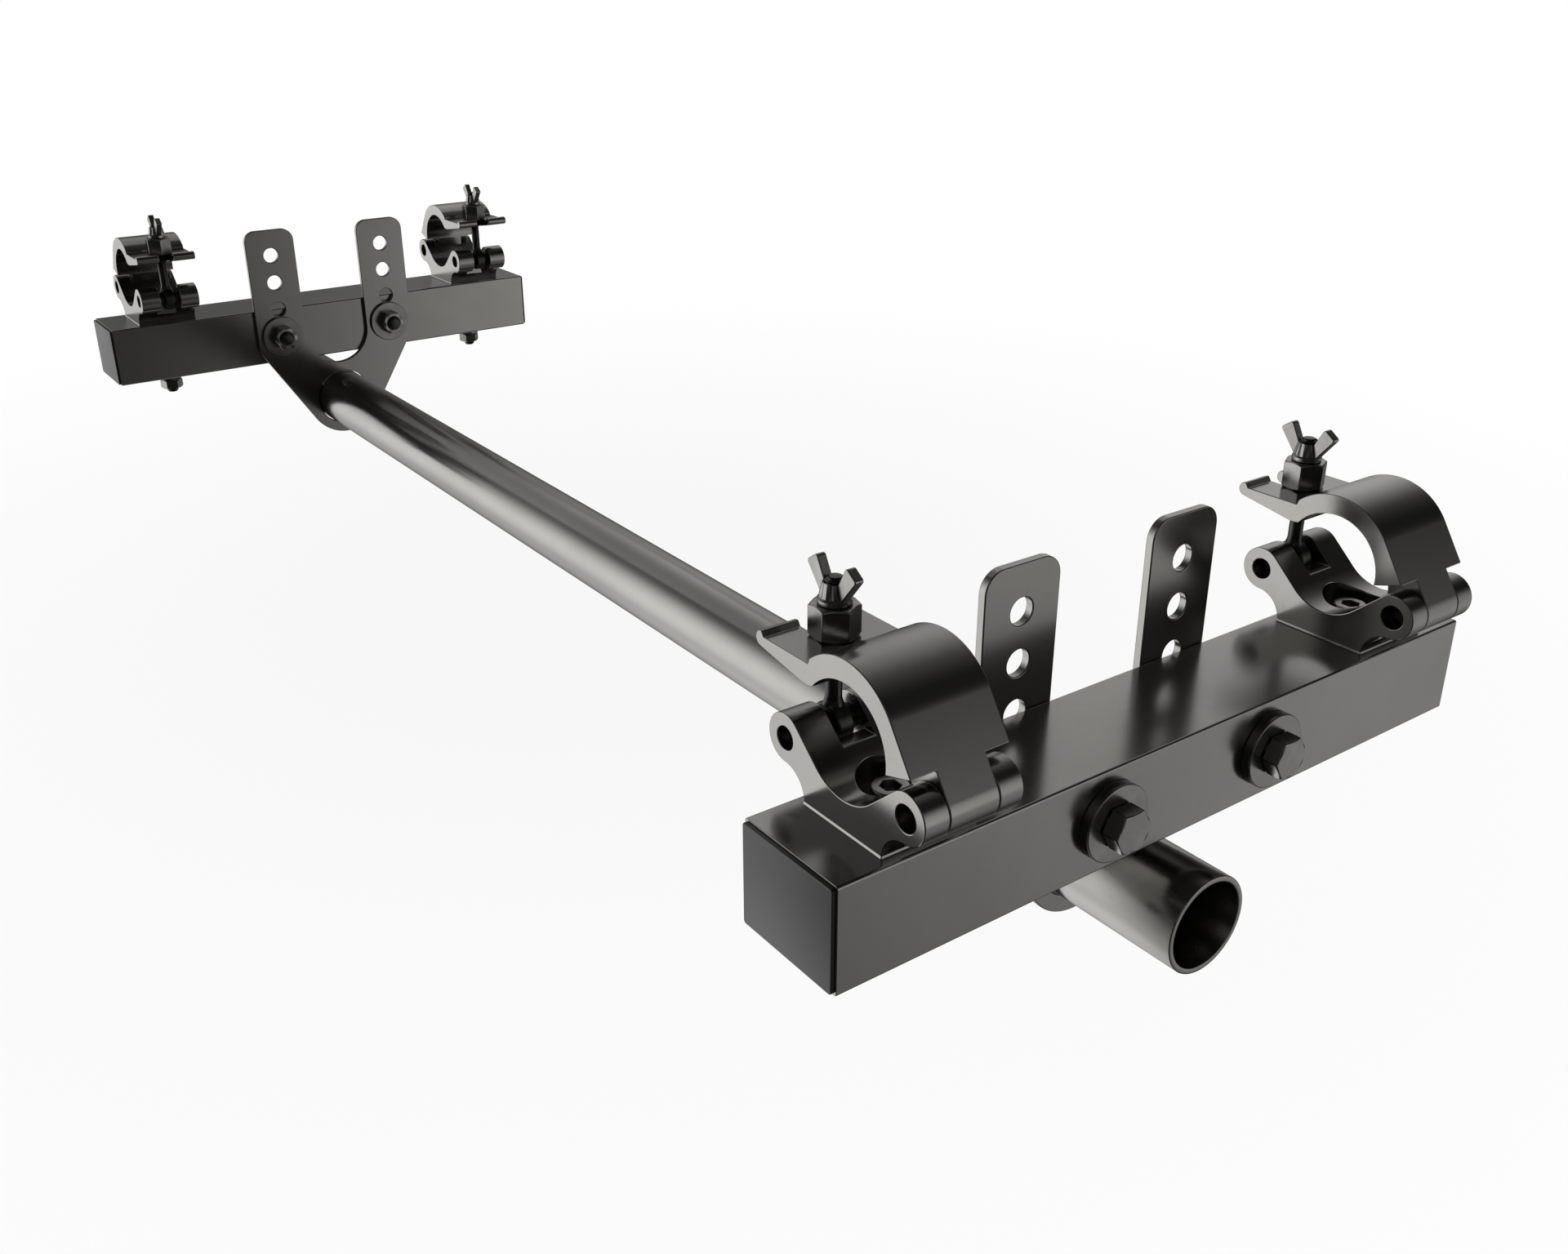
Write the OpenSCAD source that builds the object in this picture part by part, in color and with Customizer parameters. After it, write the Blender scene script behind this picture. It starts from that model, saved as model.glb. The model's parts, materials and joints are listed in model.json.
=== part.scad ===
// Low bar for a lighting truss: a round tube hung under two crossbars,
// which clamp to the truss chords with hinged half couplers.
// Millimetres, +Z up. X runs along the crossbars and Y along the tube.
// The origin is on the tube's axis, half way between its ends.

/* [Main tube] */
// Outside diameter of the tube
tube_od = 50; // [44:0.5:54]
// Wall of the tube
tube_wall = 3; // [2:0.5:5]
// How far the tube stands out past each crossbar
tube_overhang = 18; // [5:1:60]

/* [Crossbars] */
// Distance between the centre lines of the two crossbars
bar_spacing = 1045; // [400:1:2000]
// Length of crossbar left beyond a coupler, without the end cap
bar_margin = 25; // [20:1:80]
// Depth of a crossbar along the tube
bar_depth = 60; // [54:1:70]
// Height of a crossbar
bar_height = 50; // [40:1:60]
// Wall of a crossbar
bar_wall = 3; // [2:0.5:4]
// Thickness of an end cap's flange
cap_flange = 2; // [1:0.5:4]
// Chamfer round an end cap's flange
cap_chamfer = 1; // [0.5:0.1:1]
// How far an end cap's plug reaches into the crossbar
cap_plug = 14; // [8:1:20]
// Wall of an end cap's plug
cap_wall = 2; // [1.5:0.5:3]
// Slack between an end cap's plug and the crossbar
cap_slack = 0.1; // [0:0.05:0.2]

/* [Fork plates] */
// Thickness of a fork plate
plate_thick = 4.5; // [3:0.5:8]
// Clear width between the two arms
arm_gap = 60; // [54:1:70]
// Width of each arm
arm_width = 45; // [40:1:60]
// Radius of the corners at the top of an arm
arm_corner = 10.5; // [4:0.5:16]
// Plate left round the tube below it
boss_wall = 10; // [7:0.5:14]
// Plate left between the tube and the gap of the fork
throat_wall = 9.5; // [6:0.5:14]
// Slope of the lower flanks from the horizontal
flank_angle = 58; // [52:1:62]
// Radius where a flank meets its arm
flank_round = 20; // [5:1:24]
// Slack of the plate round the tube
plate_slack = 0.75; // [0.3:0.05:0.9]
// Height of the lowest row of holes above the tube's axis
hole_rise = 67; // [60:1:80]
// Distance between rows of holes
hole_pitch = 25; // [22:1:32]
// Rows of holes
hole_rows = 4; // [2:1:5]
// Diameter of the holes
hole_d = 13.5; // [13:0.5:16]
// Plate left above the centre of the top row
hole_margin = 23; // [20:1:30]
// Row that carries the crossbar, counted from the bottom
bar_row = 0; // [0:1:3]

/* [Weld beads] */
// Leg of the weld between the tube and a plate
weld_leg = 5; // [3:0.5:6]
// Angle that each of the beads covers
weld_sweep = 70; // [40:1:80]

/* [Fork fasteners] */
// Diameter of the bolts that hold a crossbar to its fork
fork_bolt_d = 12; // [10:0.5:12.5]
// Hexagon of their heads and nuts, across the flats
fork_hex_af = 19; // [17:0.5:22]
// Height of a head
fork_head = 8.9; // [6:0.1:10]
// Height of a nut
fork_nut = 10; // [8:0.5:12]
// Diameter of the washers
washer_d = 37; // [26:0.5:38]
// Thickness of the outer washers
outer_washer = 5; // [2:0.5:6]
// Thickness of the inner washers
inner_washer = 3; // [2:0.5:4]
// Slack of a washer round its bolt
washer_slack = 0.5; // [0.2:0.05:0.8]
// Length of bolt that stands out of a nut
fork_bolt_end = 3.2; // [1:0.1:8]

/* [Coupler base] */
// Distance of each coupler's middle from the middle of its crossbar
coupler_offset = 150; // [125:1:300]
// Length of a coupler along its bore
coupler_width = 49; // [46:0.5:56]
// Diameter of the bore, closed on its chord
bore_d = 50.4; // [49:0.1:51.4]
// Metal between the foot and the bottom of the bore
saddle_floor = 13.8; // [13:0.1:15]
// Distance between the hinge pin and the swing pin
pin_span = 75; // [74:0.5:80]
// Height of both pins above the foot
pin_rise = 24; // [23:0.5:26]
// Radius of the ears that hold the pins
ear_radius = 11; // [10:0.5:11.5]
// Diameter of the hinge pin
hinge_pin_d = 11.5; // [8:0.5:13]
// Diameter of the swing pin
swing_pin_d = 10.5; // [8:0.5:12]
// How far the ends of the pins lie inside the ears
pin_recess = 8; // [1:0.5:9]
// Radial running clearance on the pins
pin_clearance = 0.05; // [0.03:0.01:0.08]
// Width of the slot between the hinge ears
hinge_slot = 25; // [20:0.5:28]
// Width of the slot between the swing ears
swing_slot = 17; // [12.5:0.5:18]
// Height of the web that the slot leaves between the swing ears
web_rise = 22.7; // [21:0.1:26]
// Clearance behind the knuckle and the eye
slot_clearance = 1; // [0.8:0.1:1.5]

/* [Coupler jaw] */
// Thinnest wall of the jaw's arch, at its side
jaw_wall = 7.8; // [7:0.1:9]
// Extra wall at the crown of the arch
jaw_crown = 2; // [1:0.1:3]
// Height of the heel's outer edge above the hinge
heel_outer = 17; // [16:0.5:19]
// Height of the heel's inner edge above the hinge
heel_inner = 12.4; // [12:0.1:14]
// Side clearance of the knuckle in its slot
knuckle_clearance = 0.3; // [0.2:0.05:0.5]
// Height of the lip's upper face above the pins
lip_rise = 39.3; // [38.6:0.1:40.5]
// Reach of the lip's tip beyond the swing pin
lip_reach = 19.9; // [19:0.1:21]
// Radius of the lip's tip
lip_tip = 3.45; // [3.2:0.05:3.6]
// Height of the ridge above the lip's upper face
lip_ridge = 2.3; // [1.8:0.1:2.5]
// Thickness of the lip at its root
lip_root = 9.3; // [8:0.1:9.6]
// Where the lip leaves the bore, as an angle above the bore's axis
lip_angle = 42; // [38:1:46]
// Length of the thick root under the lip
lip_root_run = 7.6; // [5:0.1:9]
// Distance of the notch behind the lip from where the lip leaves the bore
lip_notch = 3.9; // [3:0.1:5]
// Width of the slot in the lip
lip_slot = 12; // [10:0.5:14]
// Gap between the slot's closed end and the thread
lip_slot_gap = 0.5; // [0.5:0.1:1.5]

/* [Coupler clamp bolt] */
// Diameter of the thread
thread_d = 8; // [7:0.5:9]
// Diameter of the shank below the thread
shank_d = 7.2; // [6:0.1:7.9]
// Length of bolt that stands out of the wing nut
clamp_bolt_end = 2.4; // [1:0.1:8]
// Length of thread
thread_length = 33; // [30:0.5:45]
// Radius of the eye
eye_radius = 9.5; // [8.5:0.5:10]
// Width of the eye
eye_width = 8; // [8:0.5:12]
// Hexagon of the clamp nut, across the flats
clamp_nut_af = 19; // [15:0.5:21]
// Height of the clamp nut
clamp_nut_h = 14; // [10:0.5:14]
// Turn of the clamp nut's corners
clamp_nut_turn = 25.4; // [0:0.1:60]
// Gap between pieces that only rest on each other
seat_gap = 0.1; // [0.05:0.05:0.2]

/* [Wing nut] */
// Radius of the collar under the hub
collar_radius = 7.25; // [6:0.05:8]
// Height of the collar
collar_h = 2.8; // [2:0.1:4]
// Radius of the hub at its bottom
hub_radius = 6.75; // [6:0.05:7.5]
// Radius of the hub at its top
hub_top_radius = 5.4; // [5.2:0.05:6.5]
// Height of the hub
hub_h = 6.3; // [5:0.1:8]
// Thickness of the wings
wing_thick = 4.5; // [3:0.1:5]
// Reach of each wing from the bolt's axis
wing_reach = 15.3; // [13:0.1:18]
// Height of the wings' tips above the clamp nut
wing_rise = 17.8; // [16:0.1:22]
// Radius of the corners of the wings
wing_round = 1.4; // [0.8:0.1:1.8]

/* [Mounting bolt] */
// Diameter of the bolt that holds a coupler to its crossbar
mount_bolt_d = 10; // [8:0.5:10.5]
// Diameter of its head
mount_head_d = 16.6; // [14:0.1:18]
// Height of its head
mount_head_h = 6; // [5:0.5:7]
// Key of its socket, across the flats
mount_key = 8; // [5:0.5:8]
// Diameter of the pocket in the saddle
pocket_d = 28; // [20:0.5:28]
// Metal left under the pocket
pocket_floor = 5.7; // [5:0.1:6.5]
// Slack of the bolt in its holes, over the diameter
mount_slack = 0.8; // [0.4:0.1:1.5]
// Hexagon of its nuts, across the flats
mount_nut_af = 17; // [15:0.5:19]
// Height of each nut
mount_nut_h = 7.7; // [6:0.1:8]
// Length of bolt that stands out of the lower nut
mount_bolt_end = 4; // [1:0.5:10]

/* [Hidden] */
$fn = 96;

// Names for the two ends along Y and the two sides along X
front = -1;
rear = 1;
left = -1;
right = 1;

// How far a cut runs past a face, and farther than any coupler piece reaches
past = 1;
far = 200;

// How far a straight edge that leaves a curve starts inside it, so that the two cross cleanly
bite = 0.01;

// Small shapes that follow no other size
rod_chamfer = 1;
heel_step = 0.8;
ridge_flat = 0.5;
ridge_lean = 1.5;
notch_lean = 0.7;
root_round = [1.4, 3.4];
lock_nut_turn = 25;

// Colours
powder_black = [0.11, 0.11, 0.11];
cap_black = [0.07, 0.07, 0.07];
hardware_black = [0.16, 0.16, 0.165];

// Heights and places of the main pieces
tube_r = tube_od / 2;
tube_length = bar_spacing + bar_depth + 2 * tube_overhang;
bar_length = 2 * (coupler_offset + coupler_width / 2 + bar_margin);
bar_z = hole_rise + bar_row * hole_pitch;
bar_top = bar_z + bar_height / 2;
bar_bottom = bar_z - bar_height / 2;
bar_inner = bar_spacing / 2 - bar_depth / 2;
bar_outer = bar_spacing / 2 + bar_depth / 2;
plate_inner = bar_inner - plate_thick;

// Outline of a fork plate
hole_x = (arm_gap + arm_width) / 2;
arm_outer = arm_gap / 2 + arm_width;
boss_r = tube_r + boss_wall;
throat_z = tube_r + throat_wall + arm_gap / 2;
fork_top = hole_rise + (hole_rows - 1) * hole_pitch + hole_margin;
flank_foot = boss_r * [sin(flank_angle), -cos(flank_angle)];
kink_z = flank_foot.y + (arm_outer - flank_foot.x) * tan(flank_angle);
kink_cut = flank_round * tan((90 - flank_angle) / 2);

// Places of the fork fasteners along Y, from the middle outwards
fork_bolt_tip = plate_inner - inner_washer - fork_nut - fork_bolt_end;
fork_head_seat = bar_outer + outer_washer;

// Centres of a coupler's circles, seen along its bore with the swing pin at +Y
bore_r = bore_d / 2;
bore_c = [0, saddle_floor + bore_r];
hinge_c = [-pin_span / 2, pin_rise];
swing_c = [pin_span / 2, pin_rise];
waist_r = pin_rise - ear_radius + bite;
arch_r = bore_r + jaw_wall;
arch_c = bore_c + [0, jaw_crown];

// Point of a circle at an angle
function on_circle(c, r, a) = c + r * [cos(a), sin(a)];

// Point that lies on a little past q on the way from p
function beyond(p, q) = q + past * (q - p) / norm(q - p);

// Direction from one point to another
function bearing(p, q) = atan2(q.y - p.y, q.x - p.x);

// Angle of the tangent points of a line that passes between two circles
function cross_tangent(p, rp, q, rq, side) = bearing(p, q) + side * acos((rp + rq) / norm(q - p));

// Angle of the tangent points of a line that stays on one side of two circles
function outer_tangent(p, rp, q, rq, side) = bearing(p, q) + side * acos((rp - rq) / norm(q - p));

// Shoulder of the base: the line from the saddle up to the swing ear
shoulder_a = cross_tangent(bore_c, bore_r, swing_c, ear_radius, -1);
shoulder_low = on_circle(bore_c, bore_r - bite, shoulder_a);
shoulder_high = on_circle(swing_c, ear_radius - bite, shoulder_a + 180);

// Back of the jaw: the line from the arch down to the knuckle
back_a = outer_tangent(arch_c, arch_r, hinge_c, ear_radius, -1);
back_high = on_circle(arch_c, arch_r - bite, back_a);
back_low = on_circle(hinge_c, ear_radius - bite, back_a);

// Heel of the jaw: the face above the hinge ears
heel_out_z = pin_rise + heel_outer;
heel_in_z = pin_rise + heel_inner;
heel_share = (heel_out_z - back_low.y) / (back_high.y - back_low.y);
heel_out = back_low + heel_share * (back_high - back_low);
heel_in = [-sqrt(pow(bore_r, 2) - pow(heel_in_z - bore_c.y, 2)), heel_in_z];

// Inner face of the knuckle: from the bore, a little below the heel, to its tangent on the knuckle
knuckle_top_z = heel_in_z - heel_step;
knuckle_top = [-sqrt(pow(bore_r, 2) - pow(knuckle_top_z - bore_c.y, 2)), knuckle_top_z];
knuckle_a = bearing(hinge_c, knuckle_top) - acos(ear_radius / norm(knuckle_top - hinge_c));
knuckle_in = on_circle(hinge_c, ear_radius - bite, knuckle_a);

// Lip of the jaw
lip_z = pin_rise + lip_rise;
lip_start = on_circle(bore_c, bore_r, lip_angle);
lip_root_end = [lip_start.x + lip_root_run, lip_z - lip_root];
lip_tip_c = [swing_c.x + lip_reach - lip_tip, lip_z + lip_ridge - lip_tip];
ridge_foot = [lip_tip_c.x - ridge_lean - ridge_flat, lip_z];
ridge_edge = [lip_tip_c.x - ridge_flat, lip_z + lip_ridge - bite];
notch_low = [lip_start.x + lip_notch, lip_z];
notch_high_x = notch_low.x - notch_lean;
notch_high = [notch_high_x, arch_c.y + sqrt(pow(arch_r, 2) - pow(notch_high_x, 2))];
under_a = outer_tangent(lip_root_end, 0, lip_tip_c, lip_tip, -1);
lip_slot_end = swing_c.x - thread_d / 2 - lip_slot_gap;

// Heights of the clamp nut, the wing nut and the bolt above the foot
clamp_nut_z = lip_z + seat_gap;
wing_nut_z = clamp_nut_z + clamp_nut_h + seat_gap;
eye_bolt_top = wing_nut_z + collar_h + hub_h + clamp_bolt_end;
hub_z = wing_nut_z + collar_h;
nut_bore_r = thread_d / 2 + pin_clearance;

// Circle through the corners of a hexagon, from the size across its flats
function corner_r(af) = af / 2 / cos(30);

// Outline held by a belt round circles, whose centres run counter-clockwise
module belt(c, r) {
    n = len(c);
    polygon([
        for (i = [0 : n - 1])
            let (j = (i + 1) % n, a = outer_tangent(c[i], r[i], c[j], r[j], -1))
            each [on_circle(c[i], max(r[i] - bite, 0), a), on_circle(c[j], max(r[j] - bite, 0), a)]
    ]);
    for (i = [0 : n - 1])
        if (r[i] > 0) translate(c[i]) circle(r[i]);
}

// Hexagon standing on z = 0, its upper end and, if asked, its lower end turned to a circle
module hex_body(af, h, both_ends) {
    outer = corner_r(af) + past;
    rise = (outer - af / 2) * tan(30);
    intersection() {
        cylinder(r = corner_r(af), h = h, $fn = 6);
        rotate_extrude()
            polygon(concat(
                [[0, h], [0, 0]],
                both_ends ? [[af / 2, 0], [outer, rise]] : [[outer, 0]],
                [[outer, h - rise], [af / 2, h]]
            ));
    }
}

// Hexagon nut on z = 0 with a plain bore
module hex_nut(af, h, bore) {
    difference() {
        hex_body(af, h, true);
        translate([0, 0, -past]) cylinder(r = bore, h = h + 2 * past);
    }
}

// Rod from z = 0 up with a chamfered far end
module rod(r, h) {
    rotate_extrude()
        polygon([[0, 0], [r, 0], [r, h - rod_chamfer], [r - rod_chamfer, h], [0, h]]);
}

// Turns what is drawn for the rear end round to the end that is asked for
module at_end(end) {
    rotate([0, 0, end == rear ? 0 : 180]) children();
}

// Lays a profile drawn in (Y, Z) out along X, centred
module along_x(width) {
    rotate([90, 0, 90]) translate([0, 0, -width / 2]) linear_extrude(width) children();
}

// Hole or pin along X through a point given in (Y, Z)
module cross_rod(c, r, length) {
    translate([0, c.x, c.y]) rotate([0, 90, 0]) cylinder(r = r, h = length, center = true);
}

// Stands a coupler piece on its crossbar, with the hinge pin on the outside
module at_coupler(side, end) {
    translate([side * coupler_offset, end * bar_spacing / 2, bar_top])
        rotate([0, 0, end == front ? 0 : 180]) children();
}

// Both bolt places of a fork, turned so that +Z points outwards along the bolt
module at_fork_bolts(end, from) {
    at_end(end)
        for (side = [left, right])
            translate([side * hole_x, from, bar_z]) rotate([-90, 0, 0]) children();
}

module main_tube() {
    color(powder_black)
    rotate([90, 0, 0])
    difference() {
        cylinder(r = tube_r, h = tube_length, center = true);
        cylinder(r = tube_r - tube_wall, h = tube_length + 2 * past, center = true);
    }
}

// Half of a fork plate's outline, without its holes and its gap
module fork_half() {
    kink_c = [arm_outer - flank_round, kink_z + kink_cut];
    polygon([
        [0, 0],
        on_circle([0, 0], boss_r - bite, flank_angle - 90),
        on_circle(kink_c, flank_round - bite, flank_angle - 90),
        kink_c,
        [arm_outer, kink_c.y],
        [arm_outer, fork_top - arm_corner],
        [0, fork_top - arm_corner]
    ]);
    translate(kink_c) circle(flank_round);
    translate([arm_gap / 2 + arm_corner, fork_top - 2 * arm_corner])
        square([arm_width - 2 * arm_corner, 2 * arm_corner]);
    for (x = [arm_gap / 2 + arm_corner, arm_outer - arm_corner])
        translate([x, fork_top - arm_corner]) circle(arm_corner);
}

// Outline of a fork plate in (X, Z)
module fork_outline() {
    difference() {
        union() {
            intersection() {
                circle(boss_r);
                translate([-far, -far]) square([2 * far, far + flank_foot.y + past]);
            }
            fork_half();
            mirror([1, 0]) fork_half();
        }
        translate([0, throat_z]) circle(arm_gap / 2);
        translate([-arm_gap / 2, throat_z]) square([arm_gap, far]);
        circle(tube_r + plate_slack);
        for (side = [left, right], row = [0 : hole_rows - 1])
            translate([side * hole_x, hole_rise + row * hole_pitch]) circle(d = hole_d);
    }
}

module fork_plate(end) {
    color(powder_black)
    at_end(end)
    translate([0, bar_inner, 0])
    rotate([90, 0, 0])
    linear_extrude(plate_thick) fork_outline();
}

// Two beads beside the tube, on the face of each plate that looks to the rear
module weld_beads(end) {
    face = end == front ? -plate_inner : bar_inner;
    color(powder_black)
    for (side = [0, 180])
        translate([0, face, 0])
        rotate([-90, 0, 0])
        rotate([0, 0, side - weld_sweep / 2])
        rotate_extrude(angle = weld_sweep)
            polygon([[tube_r, 0], [tube_r + weld_leg, 0], [tube_r, weld_leg]]);
}

module crossbar(end) {
    color(powder_black)
    translate([0, end * bar_spacing / 2, bar_z])
    difference() {
        cube([bar_length, bar_depth, bar_height], center = true);
        cube([bar_length + 2 * past, bar_depth - 2 * bar_wall, bar_height - 2 * bar_wall], center = true);
        for (side = [left, right]) {
            translate([side * hole_x, 0, 0])
                rotate([90, 0, 0]) cylinder(d = hole_d, h = bar_depth + 2 * past, center = true);
            translate([side * coupler_offset, 0, 0])
                cylinder(d = mount_bolt_d + mount_slack, h = bar_height + 2 * past, center = true);
        }
    }
}

// Flange over the crossbar's end, with a hollow plug inside it
module end_cap(side, end) {
    plug = [bar_depth, bar_height] - 2 * (bar_wall + cap_slack) * [1, 1];
    color(cap_black)
    translate([side * bar_length / 2, end * bar_spacing / 2, bar_z])
    rotate([0, side * 90, 0])
    rotate([0, 0, 90])
    union() {
        hull() {
            linear_extrude(cap_flange - cap_chamfer) square([bar_depth, bar_height], center = true);
            linear_extrude(cap_flange)
                square([bar_depth - 2 * cap_chamfer, bar_height - 2 * cap_chamfer], center = true);
        }
        translate([0, 0, -cap_plug])
        linear_extrude(cap_plug + cap_flange / 2)
        difference() {
            square(plug, center = true);
            square(plug - 2 * cap_wall * [1, 1], center = true);
        }
    }
}

module fork_bolts(end) {
    color(hardware_black)
    union() {
        at_fork_bolts(end, fork_head_seat) hex_body(fork_hex_af, fork_head, false);
        at_fork_bolts(end, fork_head_seat)
            mirror([0, 0, 1]) rod(fork_bolt_d / 2, fork_head_seat - fork_bolt_tip);
    }
}

// Plain washers that start at a distance along the bolts
module fork_washers(end, from, thick) {
    color(hardware_black)
    at_fork_bolts(end, from)
    difference() {
        cylinder(d = washer_d, h = thick);
        translate([0, 0, -past]) cylinder(d = fork_bolt_d + 2 * washer_slack, h = thick + 2 * past);
    }
}

module fork_nuts(end) {
    color(hardware_black)
    at_fork_bolts(end, plate_inner - inner_washer - fork_nut)
        hex_nut(fork_hex_af, fork_nut, fork_bolt_d / 2);
}

// Foot, saddle and ears of the base, seen along the bore
module base_profile() {
    difference() {
        union() {
            polygon([
                [hinge_c.x, 0],
                [swing_c.x, 0],
                swing_c,
                shoulder_high,
                shoulder_low,
                [-shoulder_low.x, shoulder_low.y],
                [-shoulder_high.x, shoulder_high.y],
                hinge_c
            ]);
            for (c = [hinge_c, swing_c])
                translate(c) circle(ear_radius);
        }
        translate(bore_c) circle(bore_r);
        for (c = [hinge_c, swing_c])
            translate([c.x, 0]) circle(waist_r);
    }
}

module coupler_base() {
    hinge_wall = hinge_c.x + ear_radius + slot_clearance;
    swing_wall = swing_c.x - eye_radius - slot_clearance;
    color(powder_black)
    difference() {
        along_x(coupler_width) base_profile();
        translate([-hinge_slot / 2, hinge_wall - far, -past]) cube([hinge_slot, far, far]);
        translate([-swing_slot / 2, swing_wall, -past]) cube([swing_slot, far, far]);
        translate([-swing_slot / 2, 0, web_rise]) cube([swing_slot, far, far]);
        cross_rod(hinge_c, hinge_pin_d / 2, coupler_width + 2 * past);
        cross_rod(swing_c, swing_pin_d / 2, coupler_width + 2 * past);
        translate([0, 0, pocket_floor]) cylinder(d = pocket_d, h = far);
        translate([0, 0, -past]) cylinder(d = mount_bolt_d + mount_slack, h = far);
    }
}

// Knuckle that turns on the hinge pin, seen along the bore and not yet bored
module knuckle_profile() {
    polygon([hinge_c, back_low, back_high, arch_c, beyond(knuckle_in, knuckle_top), knuckle_in]);
    translate(hinge_c) circle(ear_radius);
}

// Lip that the clamp nut presses on, with its root inside the arch
module lip_profile() {
    polygon([
        on_circle(bore_c, bore_r + jaw_wall / 2, 90),
        on_circle(bore_c, bore_r - past, lip_angle),
        lip_start + [root_round[0], -root_round[0]],
        [lip_start.x + root_round[1], lip_root_end.y],
        lip_root_end,
        on_circle(lip_tip_c, lip_tip - bite, under_a),
        lip_tip_c,
        on_circle(lip_tip_c, lip_tip - bite, 90),
        ridge_edge,
        ridge_foot,
        notch_low - [past, 0]
    ]);
    translate(lip_tip_c) circle(lip_tip);
}

// Arch with its heel and its lip, seen along the bore and not yet bored
module jaw_profile() {
    wall_far = notch_high + far * (notch_high - notch_low) / norm(notch_high - notch_low);
    heel_far = beyond(heel_in, heel_out);
    lip_profile();
    intersection() {
        union() {
            translate(arch_c) circle(arch_r);
            knuckle_profile();
        }
        polygon([
            heel_far,
            beyond(heel_out, heel_in),
            bore_c,
            beyond(notch_high, notch_low),
            wall_far,
            [-far, far],
            [-far, heel_far.y]
        ]);
    }
}

module coupler_jaw() {
    color(powder_black)
    difference() {
        union() {
            along_x(coupler_width) jaw_profile();
            along_x(hinge_slot - 2 * knuckle_clearance) knuckle_profile();
        }
        cross_rod(bore_c, bore_r, coupler_width + 2 * past);
        cross_rod(hinge_c, hinge_pin_d / 2 + pin_clearance, coupler_width);
        translate([0, lip_slot_end + lip_slot / 2, 0]) cylinder(d = lip_slot, h = far);
        translate([-lip_slot / 2, lip_slot_end + lip_slot / 2, 0]) cube([lip_slot, far, far]);
    }
}

module hinge_pin() {
    color(hardware_black)
    cross_rod(hinge_c, hinge_pin_d / 2, coupler_width - 2 * pin_recess);
}

module swing_pin() {
    color(hardware_black)
    cross_rod(swing_c, swing_pin_d / 2, coupler_width - 2 * pin_recess);
}

// Bolt that swings out of the lip, with its eye round the swing pin
module eye_bolt() {
    shank_z = swing_c.y + eye_radius - rod_chamfer;
    thread_z = eye_bolt_top - thread_length;
    thread_r = thread_d / 2;
    color(hardware_black)
    difference() {
        union() {
            cross_rod(swing_c, eye_radius, eye_width);
            translate([0, swing_c.x, 0])
            rotate_extrude()
                polygon([
                    [0, shank_z],
                    [shank_d / 2, shank_z],
                    [shank_d / 2, thread_z],
                    [thread_r, thread_z + thread_r - shank_d / 2],
                    [thread_r, eye_bolt_top - rod_chamfer],
                    [thread_r - rod_chamfer, eye_bolt_top],
                    [0, eye_bolt_top]
                ]);
        }
        cross_rod(swing_c, swing_pin_d / 2 + pin_clearance, eye_width + 2 * past);
    }
}

module clamp_nut() {
    color(hardware_black)
    translate([0, swing_c.x, clamp_nut_z])
    rotate([0, 0, clamp_nut_turn])
        hex_nut(clamp_nut_af, clamp_nut_h, nut_bore_r);
}

// One wing, seen from the side, with the hub's axis at x = 0
module wing_profile() {
    belt(
        [
            [hub_radius - wing_round / 2, collar_h - wing_round],
            [wing_reach - wing_round, wing_rise - 3 * wing_round],
            [wing_reach - hub_top_radius, wing_rise - wing_round],
            [hub_top_radius - wing_round, collar_h + hub_h - wing_round / 2]
        ],
        [0, wing_round, wing_round, 0]
    );
}

module wing_nut() {
    color(hardware_black)
    translate([0, swing_c.x, wing_nut_z])
    difference() {
        union() {
            cylinder(r = collar_radius, h = collar_h);
            translate([0, 0, collar_h]) cylinder(r1 = hub_radius, r2 = hub_top_radius, h = hub_h);
            for (turn = [0, 180])
                rotate([0, 0, turn]) along_x(wing_thick) wing_profile();
        }
        translate([0, 0, -past]) cylinder(r = nut_bore_r, h = wing_rise + 2 * past);
    }
}

// Socket-headed bolt through the saddle and the crossbar
module mounting_bolt() {
    head_top = pocket_floor + mount_head_h;
    tip = bar_height + 2 * mount_nut_h + mount_bolt_end;
    color(hardware_black)
    difference() {
        union() {
            translate([0, 0, pocket_floor]) rod(mount_head_d / 2, mount_head_h);
            translate([0, 0, pocket_floor]) mirror([0, 0, 1]) rod(mount_bolt_d / 2, pocket_floor + tip);
        }
        translate([0, 0, head_top - 2 / 3 * mount_head_h])
            cylinder(r = corner_r(mount_key), h = far, $fn = 6);
    }
}

// Nut and lock nut under the crossbar
module mounting_nuts() {
    color(hardware_black)
    for (i = [1, 2])
        translate([0, 0, -bar_height - i * mount_nut_h - (i - 1) * seat_gap])
        rotate([0, 0, i * lock_nut_turn])
            hex_nut(mount_nut_af, mount_nut_h, mount_bolt_d / 2);
}

main_tube();
fork_plate(front);  // fork_plate_front
fork_plate(rear);  // fork_plate_rear
weld_beads(front);  // weld_beads_front
weld_beads(rear);  // weld_beads_rear
crossbar(front);  // crossbar_front
crossbar(rear);  // crossbar_rear
end_cap(left, front);  // end_cap_front_left
end_cap(right, front);  // end_cap_front_right
end_cap(left, rear);  // end_cap_rear_left
end_cap(right, rear);  // end_cap_rear_right
fork_bolts(front);  // fork_bolts_front
fork_bolts(rear);  // fork_bolts_rear
fork_washers(front, bar_outer, outer_washer);  // outer_washers_front
fork_washers(rear, bar_outer, outer_washer);  // outer_washers_rear
fork_washers(front, plate_inner - inner_washer, inner_washer);  // inner_washers_front
fork_washers(rear, plate_inner - inner_washer, inner_washer);  // inner_washers_rear
fork_nuts(front);  // fork_nuts_front
fork_nuts(rear);  // fork_nuts_rear
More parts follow.
